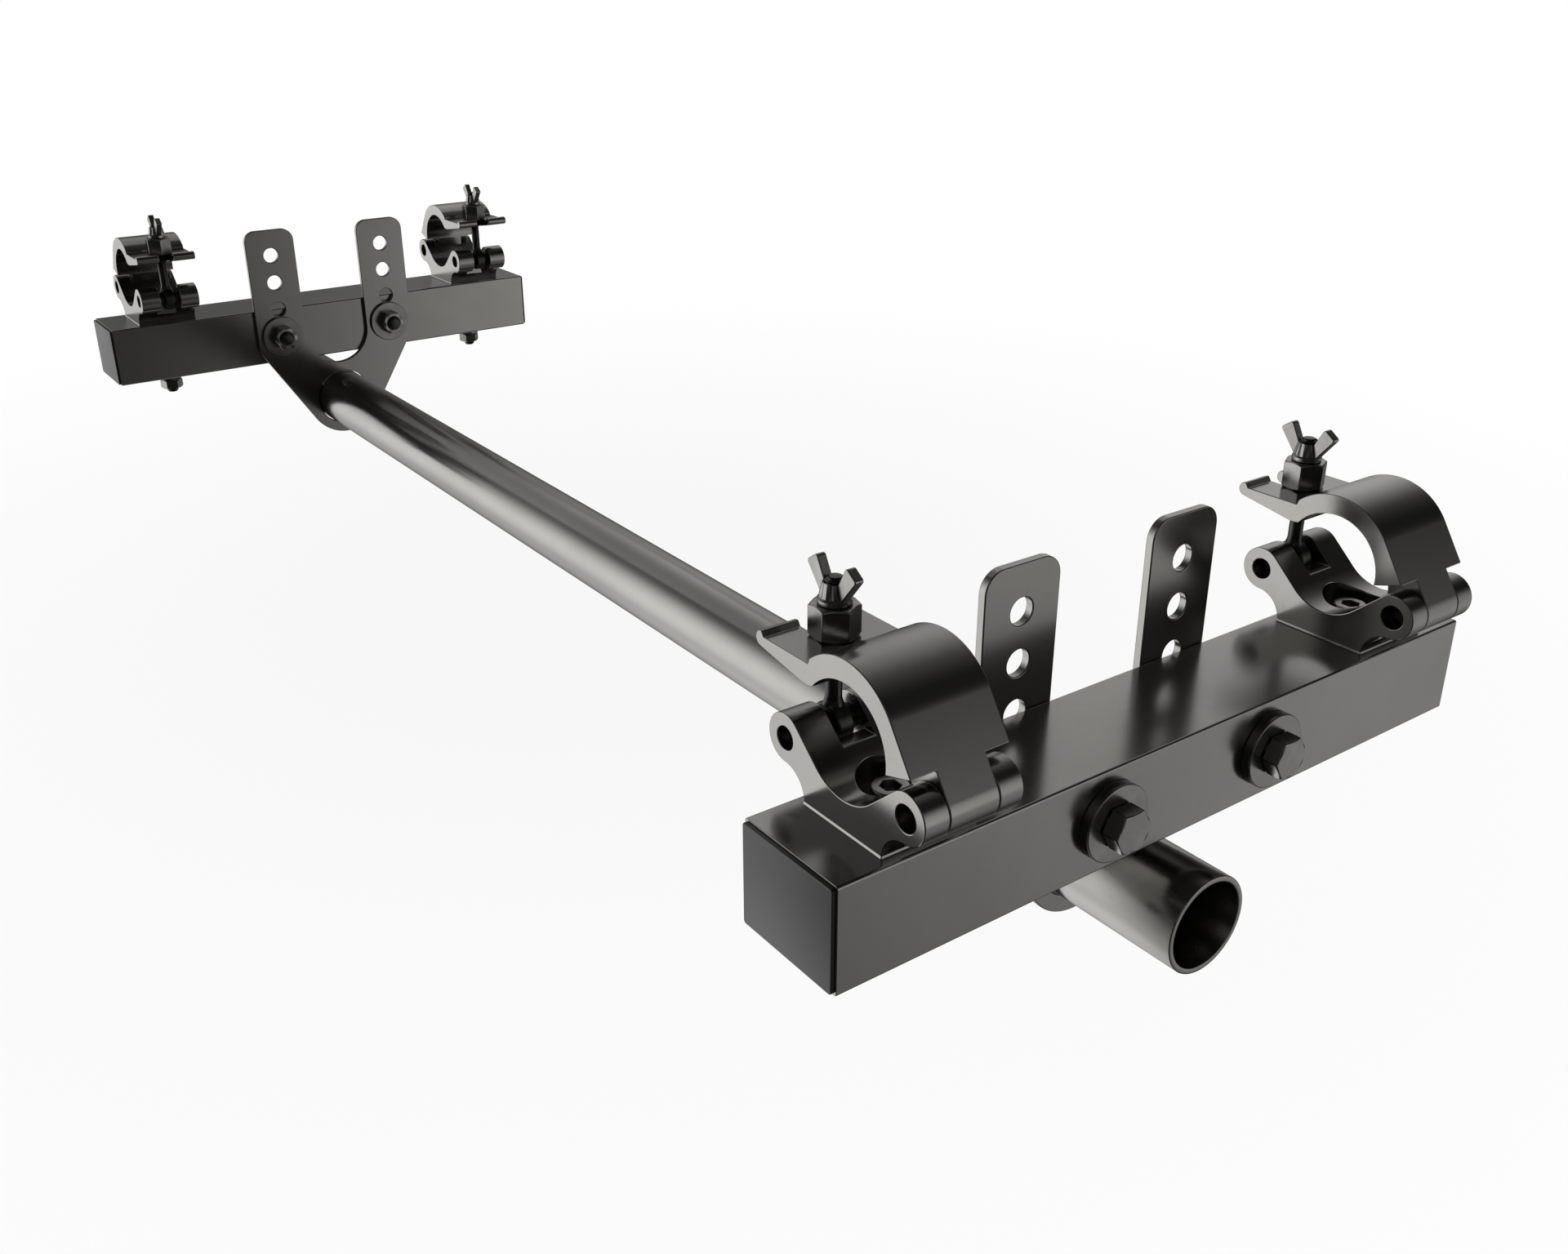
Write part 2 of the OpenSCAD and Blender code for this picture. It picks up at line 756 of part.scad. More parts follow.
at_coupler(left, front) coupler_base();  // coupler_base_front_left
at_coupler(right, front) coupler_base();  // coupler_base_front_right
at_coupler(left, rear) coupler_base();  // coupler_base_rear_left
at_coupler(right, rear) coupler_base();  // coupler_base_rear_right
at_coupler(left, front) coupler_jaw();  // coupler_jaw_front_left
at_coupler(right, front) coupler_jaw();  // coupler_jaw_front_right
at_coupler(left, rear) coupler_jaw();  // coupler_jaw_rear_left
at_coupler(right, rear) coupler_jaw();  // coupler_jaw_rear_right
at_coupler(left, front) hinge_pin();  // hinge_pin_front_left
at_coupler(right, front) hinge_pin();  // hinge_pin_front_right
at_coupler(left, rear) hinge_pin();  // hinge_pin_rear_left
at_coupler(right, rear) hinge_pin();  // hinge_pin_rear_right
at_coupler(left, front) swing_pin();  // swing_pin_front_left
at_coupler(right, front) swing_pin();  // swing_pin_front_right
at_coupler(left, rear) swing_pin();  // swing_pin_rear_left
at_coupler(right, rear) swing_pin();  // swing_pin_rear_right
at_coupler(left, front) eye_bolt();  // eye_bolt_front_left
at_coupler(right, front) eye_bolt();  // eye_bolt_front_right
at_coupler(left, rear) eye_bolt();  // eye_bolt_rear_left
at_coupler(right, rear) eye_bolt();  // eye_bolt_rear_right
at_coupler(left, front) clamp_nut();  // clamp_nut_front_left
at_coupler(right, front) clamp_nut();  // clamp_nut_front_right
at_coupler(left, rear) clamp_nut();  // clamp_nut_rear_left
at_coupler(right, rear) clamp_nut();  // clamp_nut_rear_right
at_coupler(left, front) wing_nut();  // wing_nut_front_left
at_coupler(right, front) wing_nut();  // wing_nut_front_right
at_coupler(left, rear) wing_nut();  // wing_nut_rear_left
at_coupler(right, rear) wing_nut();  // wing_nut_rear_right
at_coupler(left, front) mounting_bolt();  // mounting_bolt_front_left
at_coupler(right, front) mounting_bolt();  // mounting_bolt_front_right
at_coupler(left, rear) mounting_bolt();  // mounting_bolt_rear_left
at_coupler(right, rear) mounting_bolt();  // mounting_bolt_rear_right
at_coupler(left, front) mounting_nuts();  // mounting_nuts_front_left
at_coupler(right, front) mounting_nuts();  // mounting_nuts_front_right
at_coupler(left, rear) mounting_nuts();  // mounting_nuts_rear_left
at_coupler(right, rear) mounting_nuts();  // mounting_nuts_rear_right
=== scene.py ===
"""Looks of the truss low bar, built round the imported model.

Every size is in millimetres in the frame of the CAD model: X runs along the crossbars, Y along the tube and Z
up, with the origin on the tube's axis half way between its ends. Meshes are turned into metres when placed.
"""

import json
import logging
import math
from dataclasses import dataclass, field
from enum import Enum
from typing import Iterable, Optional, Sequence, Union

import bmesh
import bpy
from mathutils import Matrix, Vector

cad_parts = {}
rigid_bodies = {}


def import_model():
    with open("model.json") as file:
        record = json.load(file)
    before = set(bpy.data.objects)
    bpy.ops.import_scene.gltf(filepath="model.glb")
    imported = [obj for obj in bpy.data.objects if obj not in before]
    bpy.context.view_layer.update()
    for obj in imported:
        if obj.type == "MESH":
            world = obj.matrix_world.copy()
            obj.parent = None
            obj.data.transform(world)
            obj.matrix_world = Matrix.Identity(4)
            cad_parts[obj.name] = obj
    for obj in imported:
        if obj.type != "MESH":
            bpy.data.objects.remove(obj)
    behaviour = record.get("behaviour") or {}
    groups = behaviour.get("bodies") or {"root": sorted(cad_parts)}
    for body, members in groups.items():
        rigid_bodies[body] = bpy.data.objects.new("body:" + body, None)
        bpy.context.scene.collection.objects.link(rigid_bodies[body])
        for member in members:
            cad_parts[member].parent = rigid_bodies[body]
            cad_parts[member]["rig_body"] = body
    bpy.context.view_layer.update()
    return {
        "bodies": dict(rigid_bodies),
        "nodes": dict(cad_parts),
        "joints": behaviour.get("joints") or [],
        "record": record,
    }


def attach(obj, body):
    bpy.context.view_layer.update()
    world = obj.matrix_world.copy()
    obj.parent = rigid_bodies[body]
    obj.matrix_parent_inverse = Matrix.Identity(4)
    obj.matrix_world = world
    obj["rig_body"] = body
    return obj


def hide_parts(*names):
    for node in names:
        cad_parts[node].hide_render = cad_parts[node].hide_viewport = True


Point = tuple[float, float]
Colour = tuple[float, float, float]
Ring = list[tuple[float, float, float]]

MM = 0.001
AXIS = 0.01  # radius of a lathe's end faces at its axis, which are too small to see
RIDGE = 0.52  # radius of a thread's ridge, in pitches
ROOT = 0.55  # depth of a thread's core below its crest, in pitches
PAST = 5.0  # how far a cutter reaches beyond what it cuts
SENSOR = 36.0  # width of the camera's sensor in millimetres
log = logging.getLogger("low_bar")


class End(Enum):
    """The two ends of the tube, as their side of the origin along Y."""

    FRONT = -1
    REAR = 1


class Side(Enum):
    """The two sides of a crossbar, as their side of the origin along X."""

    LEFT = -1
    RIGHT = 1


# Shader tree: sockets that can be used in Python expressions


class Sock:
    """One output socket of a shader tree, with the arithmetic operators that the finishes use."""

    def __init__(self, shader: "ShaderTree", socket: bpy.types.NodeSocket) -> None:
        """Keeps the socket and the tree that new nodes go into."""
        self.shader = shader
        self.socket = socket

    def _math(self, operation: str, *values: "Value") -> "Sock":
        """Adds a Math node for an operation on values."""
        return self.shader.node("ShaderNodeMath", {"operation": operation}, dict(enumerate(values)))

    def __add__(self, other: "Value") -> "Sock":
        """Sum."""
        return self._math("ADD", self, other)

    __radd__ = __add__

    def __mul__(self, other: "Value") -> "Sock":
        """Product."""
        return self._math("MULTIPLY", self, other)

    __rmul__ = __mul__

    def __sub__(self, other: "Value") -> "Sock":
        """Difference."""
        return self._math("SUBTRACT", self, other)

    def clamped(self) -> "Sock":
        """The value, kept between 0 and 1."""
        return self._math("MINIMUM", self._math("MAXIMUM", self, 0.0), 1.0)


Value = Union[float, Sequence[float], Sock]


class ShaderTree:
    """The node tree of one material or of the world."""

    def __init__(self, tree: bpy.types.NodeTree) -> None:
        """Empties the tree and keeps it."""
        self.tree = tree
        tree.nodes.clear()

    def node(self, kind: str, settings: dict, inputs: dict, output: Union[int, str] = 0) -> Optional[Sock]:
        """Adds a node.

        Args:
            kind: The node's type.
            settings: Properties of the node, set before its inputs. The key "stops" gives a ramp's two stops.
            inputs: Values or links, by the input's index or name.
            output: Index or name of the output to return.

        Returns:
            The chosen output, or None for a node without outputs.
        """
        made = self.tree.nodes.new(kind)
        for key, value in settings.items():
            if key == "stops":
                for stop, (place, level) in zip(made.color_ramp.elements, value):
                    stop.position = place
                    stop.color = (level, level, level, 1)
            else:
                setattr(made, key, value)
        for key, value in inputs.items():
            socket = made.inputs[key]
            if isinstance(value, Sock):
                self.tree.links.new(value.socket, socket)
            else:
                socket.default_value = value
        if not made.outputs:
            return None
        return Sock(self, made.outputs[output])

    def coords(self) -> Sock:
        """Object coordinates of the surface."""
        return self.node("ShaderNodeTexCoord", {}, {}, "Object")

    def noise(self, scale: float, detail: float) -> Sock:
        """Noise on Object coordinates, about 0 to 1, by repeats in a metre and octaves of finer noise."""
        inputs = {"Vector": self.coords(), "Scale": scale, "Detail": detail, "Roughness": 0.55}
        return self.node("ShaderNodeTexNoise", {}, inputs)

    def ramp(self, value: Sock, *stops: tuple[float, float]) -> Sock:
        """Grey ramp between two stops of place and level."""
        return self.node("ShaderNodeValToRGB", {"stops": stops}, {0: value})

    def blend(self, share: Value, low: Sequence[float], high: Sequence[float]) -> Sock:
        """Colour between two colours, by a share from 0 to 1."""
        return self.node("ShaderNodeMix", {"data_type": "RGBA"}, {0: share, 6: (*low, 1), 7: (*high, 1)}, 2)

    def bump(self, height: Sock, depth: float) -> Sock:
        """Normal from a height, with the depth in metres that a height of one stands for."""
        inputs = {"Strength": 1.0, "Distance": depth, "Height": height}
        return self.node("ShaderNodeBump", {}, inputs, "Normal")


# Finishes


def new_material(name: str) -> tuple[bpy.types.Material, ShaderTree]:
    """Makes an empty node material.

    Args:
        name: Name of the material.

    Returns:
        The material and the tree that fills it.
    """
    made = bpy.data.materials.new(name)
    made.use_nodes = True
    return made, ShaderTree(made.node_tree)


@dataclass(frozen=True)
class Patches:
    """Patches of noise in which a finish turns towards its second colour.

    The noise has its scale and detail, and rises from nothing to the full patch between two of its levels. A
    full patch has a share of the second colour, and adds haze to the roughness.
    """

    scale: float
    detail: float
    levels: tuple[float, float]
    share: float
    haze: float = 0.0


@dataclass(frozen=True)
class Finish:
    """A finish of two colours blended by patches, with a fine grain that scatters the mirrored light."""

    name: str
    colour: Colour
    second: Colour
    metallic: float
    roughness: float
    patches: tuple[Patches, ...]
    grain_scale: float
    grain_detail: float
    grain_haze: float
    grain_depth: float

    def material(self) -> bpy.types.Material:
        """Builds the material.

        Returns:
            The finished material.
        """
        made, shader = new_material(self.name)
        grain = shader.noise(self.grain_scale, self.grain_detail)
        share, roughness = 0.0, self.roughness + self.grain_haze * grain
        for patch in self.patches:
            low, high = patch.levels
            mask = shader.ramp(shader.noise(patch.scale, patch.detail), (low, 0.0), (high, 1.0))
            share = patch.share * mask + share
            roughness = patch.haze * mask + roughness
        inputs = {
            "Base Color": shader.blend(share, self.colour, self.second),
            "Metallic": self.metallic,
            "Roughness": roughness,
            "Normal": shader.bump(grain, self.grain_depth),
        }
        surface = shader.node("ShaderNodeBsdfPrincipled", {}, inputs, "BSDF")
        shader.node("ShaderNodeOutputMaterial", {}, {"Surface": surface})
        return made


class Finishes:
    """The materials of the object."""

    def __init__(self) -> None:
        """Builds the materials: coated and plated metal mirrors softly, and the caps are matt plastic."""
        self.satin = Finish(
            name="satin_black_coat",
            colour=(0.315, 0.308, 0.290),
            second=(0.278, 0.272, 0.257),
            metallic=0.95,
            roughness=0.175,
            patches=(
                Patches(9.0, 5.0, (0.40, 0.70), 0.6, 0.05),
                Patches(310.0, 2.0, (0.55, 0.80), 0.4, 0.02),
            ),
            grain_scale=420.0,
            grain_detail=2.0,
            grain_haze=0.0,
            grain_depth=0.0000007,
        ).material()
        self.steel = Finish(
            name="blackened_steel",
            colour=(0.270, 0.264, 0.252),
            second=(0.400, 0.392, 0.375),
            metallic=0.97,
            roughness=0.19,
            patches=(Patches(85.0, 4.0, (0.50, 0.78), 0.6),),
            grain_scale=900.0,
            grain_detail=2.0,
            grain_haze=0.10,
            grain_depth=0.000004,
        ).material()
        self.oxide = Finish(
            name="oiled_black_oxide",
            colour=(0.055, 0.054, 0.052),
            second=(0.120, 0.117, 0.112),
            metallic=0.9,
            roughness=0.24,
            patches=(Patches(120.0, 4.0, (0.52, 0.80), 0.6),),
            grain_scale=900.0,
            grain_detail=2.0,
            grain_haze=0.12,
            grain_depth=0.000005,
        ).material()
        self.alloy = Finish(
            name="wing_nut_plating",
            colour=(0.300, 0.295, 0.284),
            second=(0.460, 0.452, 0.440),
            metallic=0.95,
            roughness=0.22,
            patches=(Patches(140.0, 4.0, (0.50, 0.80), 0.5),),
            grain_scale=700.0,
            grain_detail=3.0,
            grain_haze=0.14,
            grain_depth=0.000008,
        ).material()
        self.cap = Finish(
            name="moulded_cap",
            colour=(0.0200, 0.0195, 0.0185),
            second=(0.0300, 0.0290, 0.0275),
            metallic=0.0,
            roughness=0.34,
            patches=(Patches(25.0, 4.0, (0.0, 1.0), 1.0),),
            grain_scale=1400.0,
            grain_detail=3.0,
            grain_haze=0.12,
            grain_depth=0.000012,
        ).material()


# Outlines in a plane


def on_circle(centre: Point, radius: float, angle: float) -> Point:
    """Point of a circle at an angle in degrees."""
    turn = math.radians(angle)
    return centre[0] + radius * math.cos(turn), centre[1] + radius * math.sin(turn)


def arc(centre: Point, radius: float, start: float, stop: float, step: float = 4.0) -> list[Point]:
    """Points along an arc between two angles in degrees, at most a step apart, its ends included."""
    count = max(1, math.ceil(abs(stop - start) / step))
    return [on_circle(centre, radius, start + (stop - start) * i / count) for i in range(count + 1)]


def bearing(start: Point, goal: Point) -> float:
    """Direction from one point to another in degrees."""
    return math.degrees(math.atan2(goal[1] - start[1], goal[0] - start[0]))


def lean(radii: float, start: Point, goal: Point) -> float:
    """Angle between a line of two centres and the radius at a tangent, for a sum or difference of radii."""
    return math.degrees(math.acos(radii / math.dist(start, goal)))


def mirrored(points: Iterable[Point]) -> list[Point]:
    """The points mirrored about the second axis, in the opposite order."""
    return [(-x, y) for x, y in reversed(list(points))]


def rounded_box(width: float, height: float, radius: float) -> list[Point]:
    """Outline of a rectangle with round corners, centred.

    Args:
        width: Size along the first axis.
        height: Size along the second axis.
        radius: Radius of the corners.

    Returns:
        The outline, counter-clockwise.
    """
    w, h = width / 2 - radius, height / 2 - radius
    corners = [((w, -h), -90), ((w, h), 0), ((-w, h), 90), ((-w, -h), 180)]
    return [p for centre, start in corners for p in arc(centre, radius, start, start + 90, 18)]


# Meshes


def turned(degrees: float, axis: str) -> Matrix:
    """Rotation about an axis through the origin."""
    return Matrix.Rotation(math.radians(degrees), 4, axis)


def moved(x: float = 0.0, y: float = 0.0, z: float = 0.0) -> Matrix:
    """Shift along the axes."""
    return Matrix.Translation((x, y, z))


def shaded(mesh: bpy.types.Mesh, degrees: float) -> bpy.types.Mesh:
    """Shades a mesh smooth, apart from its sharp edges.

    Args:
        mesh: The mesh.
        degrees: Edges sharper than this stay sharp.

    Returns:
        The same mesh.
    """
    mesh.shade_smooth()
    mesh.set_sharp_from_angle(angle=math.radians(degrees))
    return mesh


def ring(radii: Sequence[float], heights: Sequence[float]) -> Ring:
    """Points spread evenly round Z, with their radii and heights."""
    turns = [math.tau * i / len(radii) for i in range(len(radii))]
    return [(r * math.cos(a), r * math.sin(a), z) for a, r, z in zip(turns, radii, heights)]


def circle(radius: float, z: float, steps: int) -> Ring:
    """Ring of one radius at one height."""
    return ring([radius] * steps, [z] * steps)


def mesh_from(name: str, build: bmesh.types.BMesh) -> bpy.types.Mesh:
    """Turns a bmesh into a mesh with its faces pointing outwards.

    Args:
        name: Name of the mesh.
        build: The bmesh, which is freed.

    Returns:
        The mesh.
    """
    bmesh.ops.remove_doubles(build, verts=build.verts, dist=1e-5)
    bmesh.ops.recalc_face_normals(build, faces=build.faces)
    mesh = bpy.data.meshes.new(name)
    build.to_mesh(mesh)
    build.free()
    return mesh


def loft(name: str, rings: Sequence[Ring], closed: bool = False) -> bpy.types.Mesh:
    """Joins rings of equal counts with quads.

    Args:
        name: Name of the mesh.
        rings: The rings in order.
        closed: True joins the last ring to the first; otherwise both ends get a face.

    Returns:
        The mesh.
    """
    build = bmesh.new()
    rows = [[build.verts.new(p) for p in points] for points in rings]
    count = len(rows[0])
    spans = list(zip(rows, rows[1:] + rows[:1] if closed else rows[1:]))
    for low, high in spans:
        for i in range(count):
            j = (i + 1) % count
            build.faces.new((low[i], low[j], high[j], high[i]))
    if not closed:
        build.faces.new(list(reversed(rows[0])))
        build.faces.new(rows[-1])
    return mesh_from(name, build)


def lathe(name: str, outline: Sequence[Point], steps: int = 72, closed: bool = False) -> bpy.types.Mesh:
    """Turns an outline of radius and height, from the bottom up or closed to a loop, about Z."""
    return loft(name, [circle(r, z, steps) for r, z in outline], closed)


def ease_steps(reach: float) -> list[Point]:
    """Steps over an eased edge, each as its distance inwards and along."""
    return [(reach, 0.0), (0.3 * reach, 0.3 * reach), (0.0, reach)]


def rod(name: str, radius: float, low: float, high: float, steps: int = 48) -> bpy.types.Mesh:
    """Round bar about Z between two heights."""
    return lathe(name, [(AXIS, low), (radius, low), (radius, high), (AXIS, high)], steps)


def prism(name: str, outline: Sequence[Point], low: float, high: float) -> bpy.types.Mesh:
    """Stands an outline in (Y, Z) along X, between two places."""
    return loft(name, [[(x, y, z) for y, z in outline] for x in (low, high)])


def box(size: Sequence[float], centre: Sequence[float]) -> bpy.types.Mesh:
    """Box used only to cut with.

    Args:
        size: Its three sizes.
        centre: Its middle.

    Returns:
        The cutter's mesh.
    """
    build = bmesh.new()
    bmesh.ops.create_cube(build, size=1.0)
    place = moved(*centre) @ Matrix.Diagonal((*size, 1))
    bmesh.ops.transform(build, verts=build.verts, matrix=place)
    return mesh_from("cutter", build)


def drill(radius: float, low: Sequence[float], high: Sequence[float], steps: int = 64) -> bpy.types.Mesh:
    """Round cutter between two points.

    Args:
        radius: Its radius.
        low: Middle of its first end.
        high: Middle of its other end.
        steps: Steps round it; six cut a hexagon whose corners are at the radius.

    Returns:
        The cutter's mesh.
    """
    start, axis = Vector(low), Vector(high) - Vector(low)
    build = bmesh.new()
    ends = {"radius1": radius, "radius2": radius, "depth": axis.length}
    bmesh.ops.create_cone(build, cap_ends=True, segments=steps, **ends)
    place = moved(*(start + axis / 2)) @ axis.to_track_quat("Z", "Y").to_matrix().to_4x4()
    bmesh.ops.transform(build, verts=build.verts, matrix=place)
    return mesh_from("cutter", build)


def put(name: str, mesh: bpy.types.Mesh) -> bpy.types.Object:
    """Adds an object for a mesh to the scene.

    Args:
        name: Name of the object.
        mesh: Its mesh.

    Returns:
        The object.
    """
    made = bpy.data.objects.new(name, mesh)
    bpy.context.scene.collection.objects.link(made)
    return made


def settle(obj: bpy.types.Object) -> bpy.types.Mesh:
    """Turns an object with its modifiers into a plain mesh and removes the object.

    Args:
        obj: The object.

    Returns:
        The evaluated mesh.
    """
    depsgraph = bpy.context.evaluated_depsgraph_get()
    mesh = bpy.data.meshes.new_from_object(
        obj.evaluated_get(depsgraph), preserve_all_data_layers=True, depsgraph=depsgraph
    )
    bpy.data.objects.remove(obj)
    return mesh


def cut(mesh: bpy.types.Mesh, cutters: Sequence[bpy.types.Mesh]) -> bpy.types.Mesh:
    """Takes cutters away from a mesh.

    Args:
        mesh: The mesh to cut.
        cutters: The meshes that are taken away.

    Returns:
        The cut mesh.
    """
    obj = put("cutting", mesh)
    helpers = [put("cutter", c) for c in cutters]
    for helper in helpers:
        tool = obj.modifiers.new("cut", "BOOLEAN")
        tool.operation = "DIFFERENCE"
        tool.solver = "EXACT"
        tool.object = helper
    made = settle(obj)
    for helper in helpers:
        bpy.data.objects.remove(helper)
    return made


def eased(mesh: bpy.types.Mesh, radius: float, segments: int = 2, angle: float = 28.0) -> bpy.types.Mesh:
    """Rounds the sharp edges of a mesh.

    Args:
        mesh: The mesh.
        radius: How far the rounding reaches on each side of an edge.
        segments: Faces across the rounding.
        angle: Edges sharper than this many degrees are rounded.

    Returns:
        The rounded mesh, shaded smooth with its flat faces kept flat.
    """
    mesh.shade_smooth()
    obj = put("easing", mesh)
    bevel = obj.modifiers.new("ease", "BEVEL")
    bevel.width = radius
    bevel.segments = segments
    bevel.limit_method = "ANGLE"
    bevel.angle_limit = math.radians(angle)
    bevel.use_clamp_overlap = False
    bevel.harden_normals = True
    weighted = obj.modifiers.new("flat faces", "WEIGHTED_NORMAL")
    weighted.keep_sharp = True
    return settle(obj)


def joined(name: str, meshes: Sequence[bpy.types.Mesh]) -> bpy.types.Mesh:
    """Puts meshes together in one mesh, with their normals kept.

    Args:
        name: Name of the new mesh.
        meshes: The meshes.

    Returns:
        The joined mesh.
    """
    objects = [put(name, m) for m in meshes]
    with bpy.context.temp_override(active_object=objects[0], selected_editable_objects=objects):
        bpy.ops.object.join()
    mesh = objects[0].data
    bpy.data.objects.remove(objects[0])
    mesh.name = name
    return mesh


# Geometry Nodes


class NodeRecipe:
    """A Geometry Nodes tree with named inputs, run on a mesh to make what repeats or follows a path."""

    def __init__(self, name: str) -> None:
        """Makes a tree with a Geometry input and output.

        Args:
            name: Name of the tree.
        """
        self.tree = bpy.data.node_groups.new(name, "GeometryNodeTree")
        self.tree.is_modifier = True
        self.sockets: dict[str, str] = {}
        self.tree.interface.new_socket("Geometry", in_out="INPUT", socket_type="NodeSocketGeometry")
        self.tree.interface.new_socket("Geometry", in_out="OUTPUT", socket_type="NodeSocketGeometry")
        self.start = self.tree.nodes.new("NodeGroupInput")

    def entries(self, kind: str, *names: str) -> list[bpy.types.NodeSocket]:
        """Adds named inputs of one kind.

        Args:
            kind: Socket type.
            *names: Names of the inputs.

        Returns:
            The inputs' sockets inside the tree.
        """
        for name in names:
            made = self.tree.interface.new_socket(name, in_out="INPUT", socket_type=kind)
            self.sockets[name] = made.identifier
        return [self.start.outputs[name] for name in names]

    def node(
        self, kind: str, settings: dict, inputs: dict, output: Union[int, str] = 0
    ) -> bpy.types.NodeSocket:
        """Adds a node.

        Args:
            kind: The node's type.
            settings: Its properties.
            inputs: Values or sockets by index or name; a list links several to one input.
            output: Index or name of the output to return.

        Returns:
            The chosen output.
        """
        made = self.tree.nodes.new(kind)
        for key, value in settings.items():
            setattr(made, key, value)
        for key, value in inputs.items():
            for one in value if isinstance(value, list) else [value]:
                if isinstance(one, bpy.types.NodeSocket):
                    self.tree.links.new(one, made.inputs[key])
                else:
                    made.inputs[key].default_value = one
        return made.outputs[output]

    def close(self, geometry: bpy.types.NodeSocket) -> None:
        """Ends the tree in Realize Instances and Set Material.

        Args:
            geometry: What the tree has made.
        """
        (coat,) = self.entries("NodeSocketMaterial", "Finish")
        whole = self.node("GeometryNodeRealizeInstances", {}, {"Geometry": geometry})
        dressed = self.node("GeometryNodeSetMaterial", {}, {"Geometry": whole, "Material": coat})
        end = self.tree.nodes.new("NodeGroupOutput")
        self.tree.links.new(dressed, end.inputs["Geometry"])

    def run(self, mesh: bpy.types.Mesh, **values: object) -> bpy.types.Mesh:
        """Runs the tree on a mesh.

        Args:
            mesh: The mesh that goes in.
            **values: Values of the named inputs, with underscores for spaces.

        Returns:
            The mesh that comes out.
        """
        obj = put("recipe", mesh)
        tool = obj.modifiers.new("recipe", "NODES")
        tool.node_group = self.tree
        for name, value in values.items():
            tool[self.sockets[name.replace("_", " ")]] = value
        return settle(obj)


def thread_recipe() -> NodeRecipe:
    """Helical ridge of a screw thread, added round the core that goes in.

    Returns:
        The recipe, with inputs Radius, Pitch, Turns, Foot and Finish.
    """
    recipe = NodeRecipe("screw_thread")
    radius, pitch, turns, foot = recipe.entries("NodeSocketFloat", "Radius", "Pitch", "Turns", "Foot")
    height = recipe.node("ShaderNodeMath", {"operation": "MULTIPLY"}, {0: pitch, 1: turns})
    sizes = {"Resolution": 40, "Rotations": turns, "Start Radius": radius, "End Radius": radius}
    helix = recipe.node("GeometryNodeCurveSpiral", {}, {**sizes, "Height": height})
    upright = recipe.node("GeometryNodeSetCurveNormal", {"mode": "Z_UP"}, {"Curve": helix})
    ridge = recipe.node("ShaderNodeMath", {"operation": "MULTIPLY"}, {0: pitch, 1: RIDGE})
    profile = recipe.node("GeometryNodeCurvePrimitiveCircle", {}, {"Resolution": 6, "Radius": ridge}, "Curve")
    sweep = {"Curve": upright, "Profile Curve": profile, "Fill Caps": True}
    swept = recipe.node("GeometryNodeCurveToMesh", {}, sweep)
    lift = recipe.node("ShaderNodeCombineXYZ", {}, {"Z": foot})
    lifted = recipe.node("GeometryNodeTransform", {}, {"Geometry": swept, "Translation": lift})
    core = recipe.start.outputs["Geometry"]
    both = recipe.node("GeometryNodeJoinGeometry", {}, {"Geometry": [core, lifted]})
    recipe.close(both)
    return recipe


def row_recipe() -> NodeRecipe:
    """Copies of a piece in a row.

    Returns:
        The recipe, with inputs Count, Step, Start and Finish.
    """
    recipe = NodeRecipe("piece_row")
    (count,) = recipe.entries("NodeSocketInt", "Count")
    step, start = recipe.entries("NodeSocketVector", "Step", "Start")
    line = recipe.node("GeometryNodeMeshLine", {}, {"Count": count, "Start Location": start, "Offset": step})
    piece = recipe.start.outputs["Geometry"]
    recipe.close(recipe.node("GeometryNodeInstanceOnPoints", {}, {"Points": line, "Instance": piece}))
    return recipe


def weld_recipe() -> NodeRecipe:
    """Ripples of a weld bead laid along an arc about Z.

    Returns:
        The recipe, with inputs Radius, Start Angle, Sweep, Spacing and Finish.
    """
    recipe = NodeRecipe("weld_bead")
    names = ("Radius", "Start Angle", "Sweep", "Spacing")
    radius, start, sweep, spacing = recipe.entries("NodeSocketFloat", *names)
    sizes = {"Resolution": 64, "Radius": radius, "Start Angle": start, "Sweep Angle": sweep}
    path = recipe.node("GeometryNodeCurveArc", {"mode": "RADIUS"}, sizes)
    points = recipe.node("GeometryNodeCurveToPoints", {"mode": "LENGTH"}, {"Curve": path, "Length": spacing})
    turn = recipe.tree.nodes[-1].outputs["Rotation"]
    copies = {"Points": points, "Instance": recipe.start.outputs["Geometry"], "Rotation": turn}
    recipe.close(recipe.node("GeometryNodeInstanceOnPoints", {}, copies))
    return recipe


class Recipes:
    """The Geometry Nodes trees that the pieces share."""

    def __init__(self) -> None:
        """Builds the trees."""
        self.thread = thread_recipe()
        self.row = row_recipe()
        self.weld = weld_recipe()


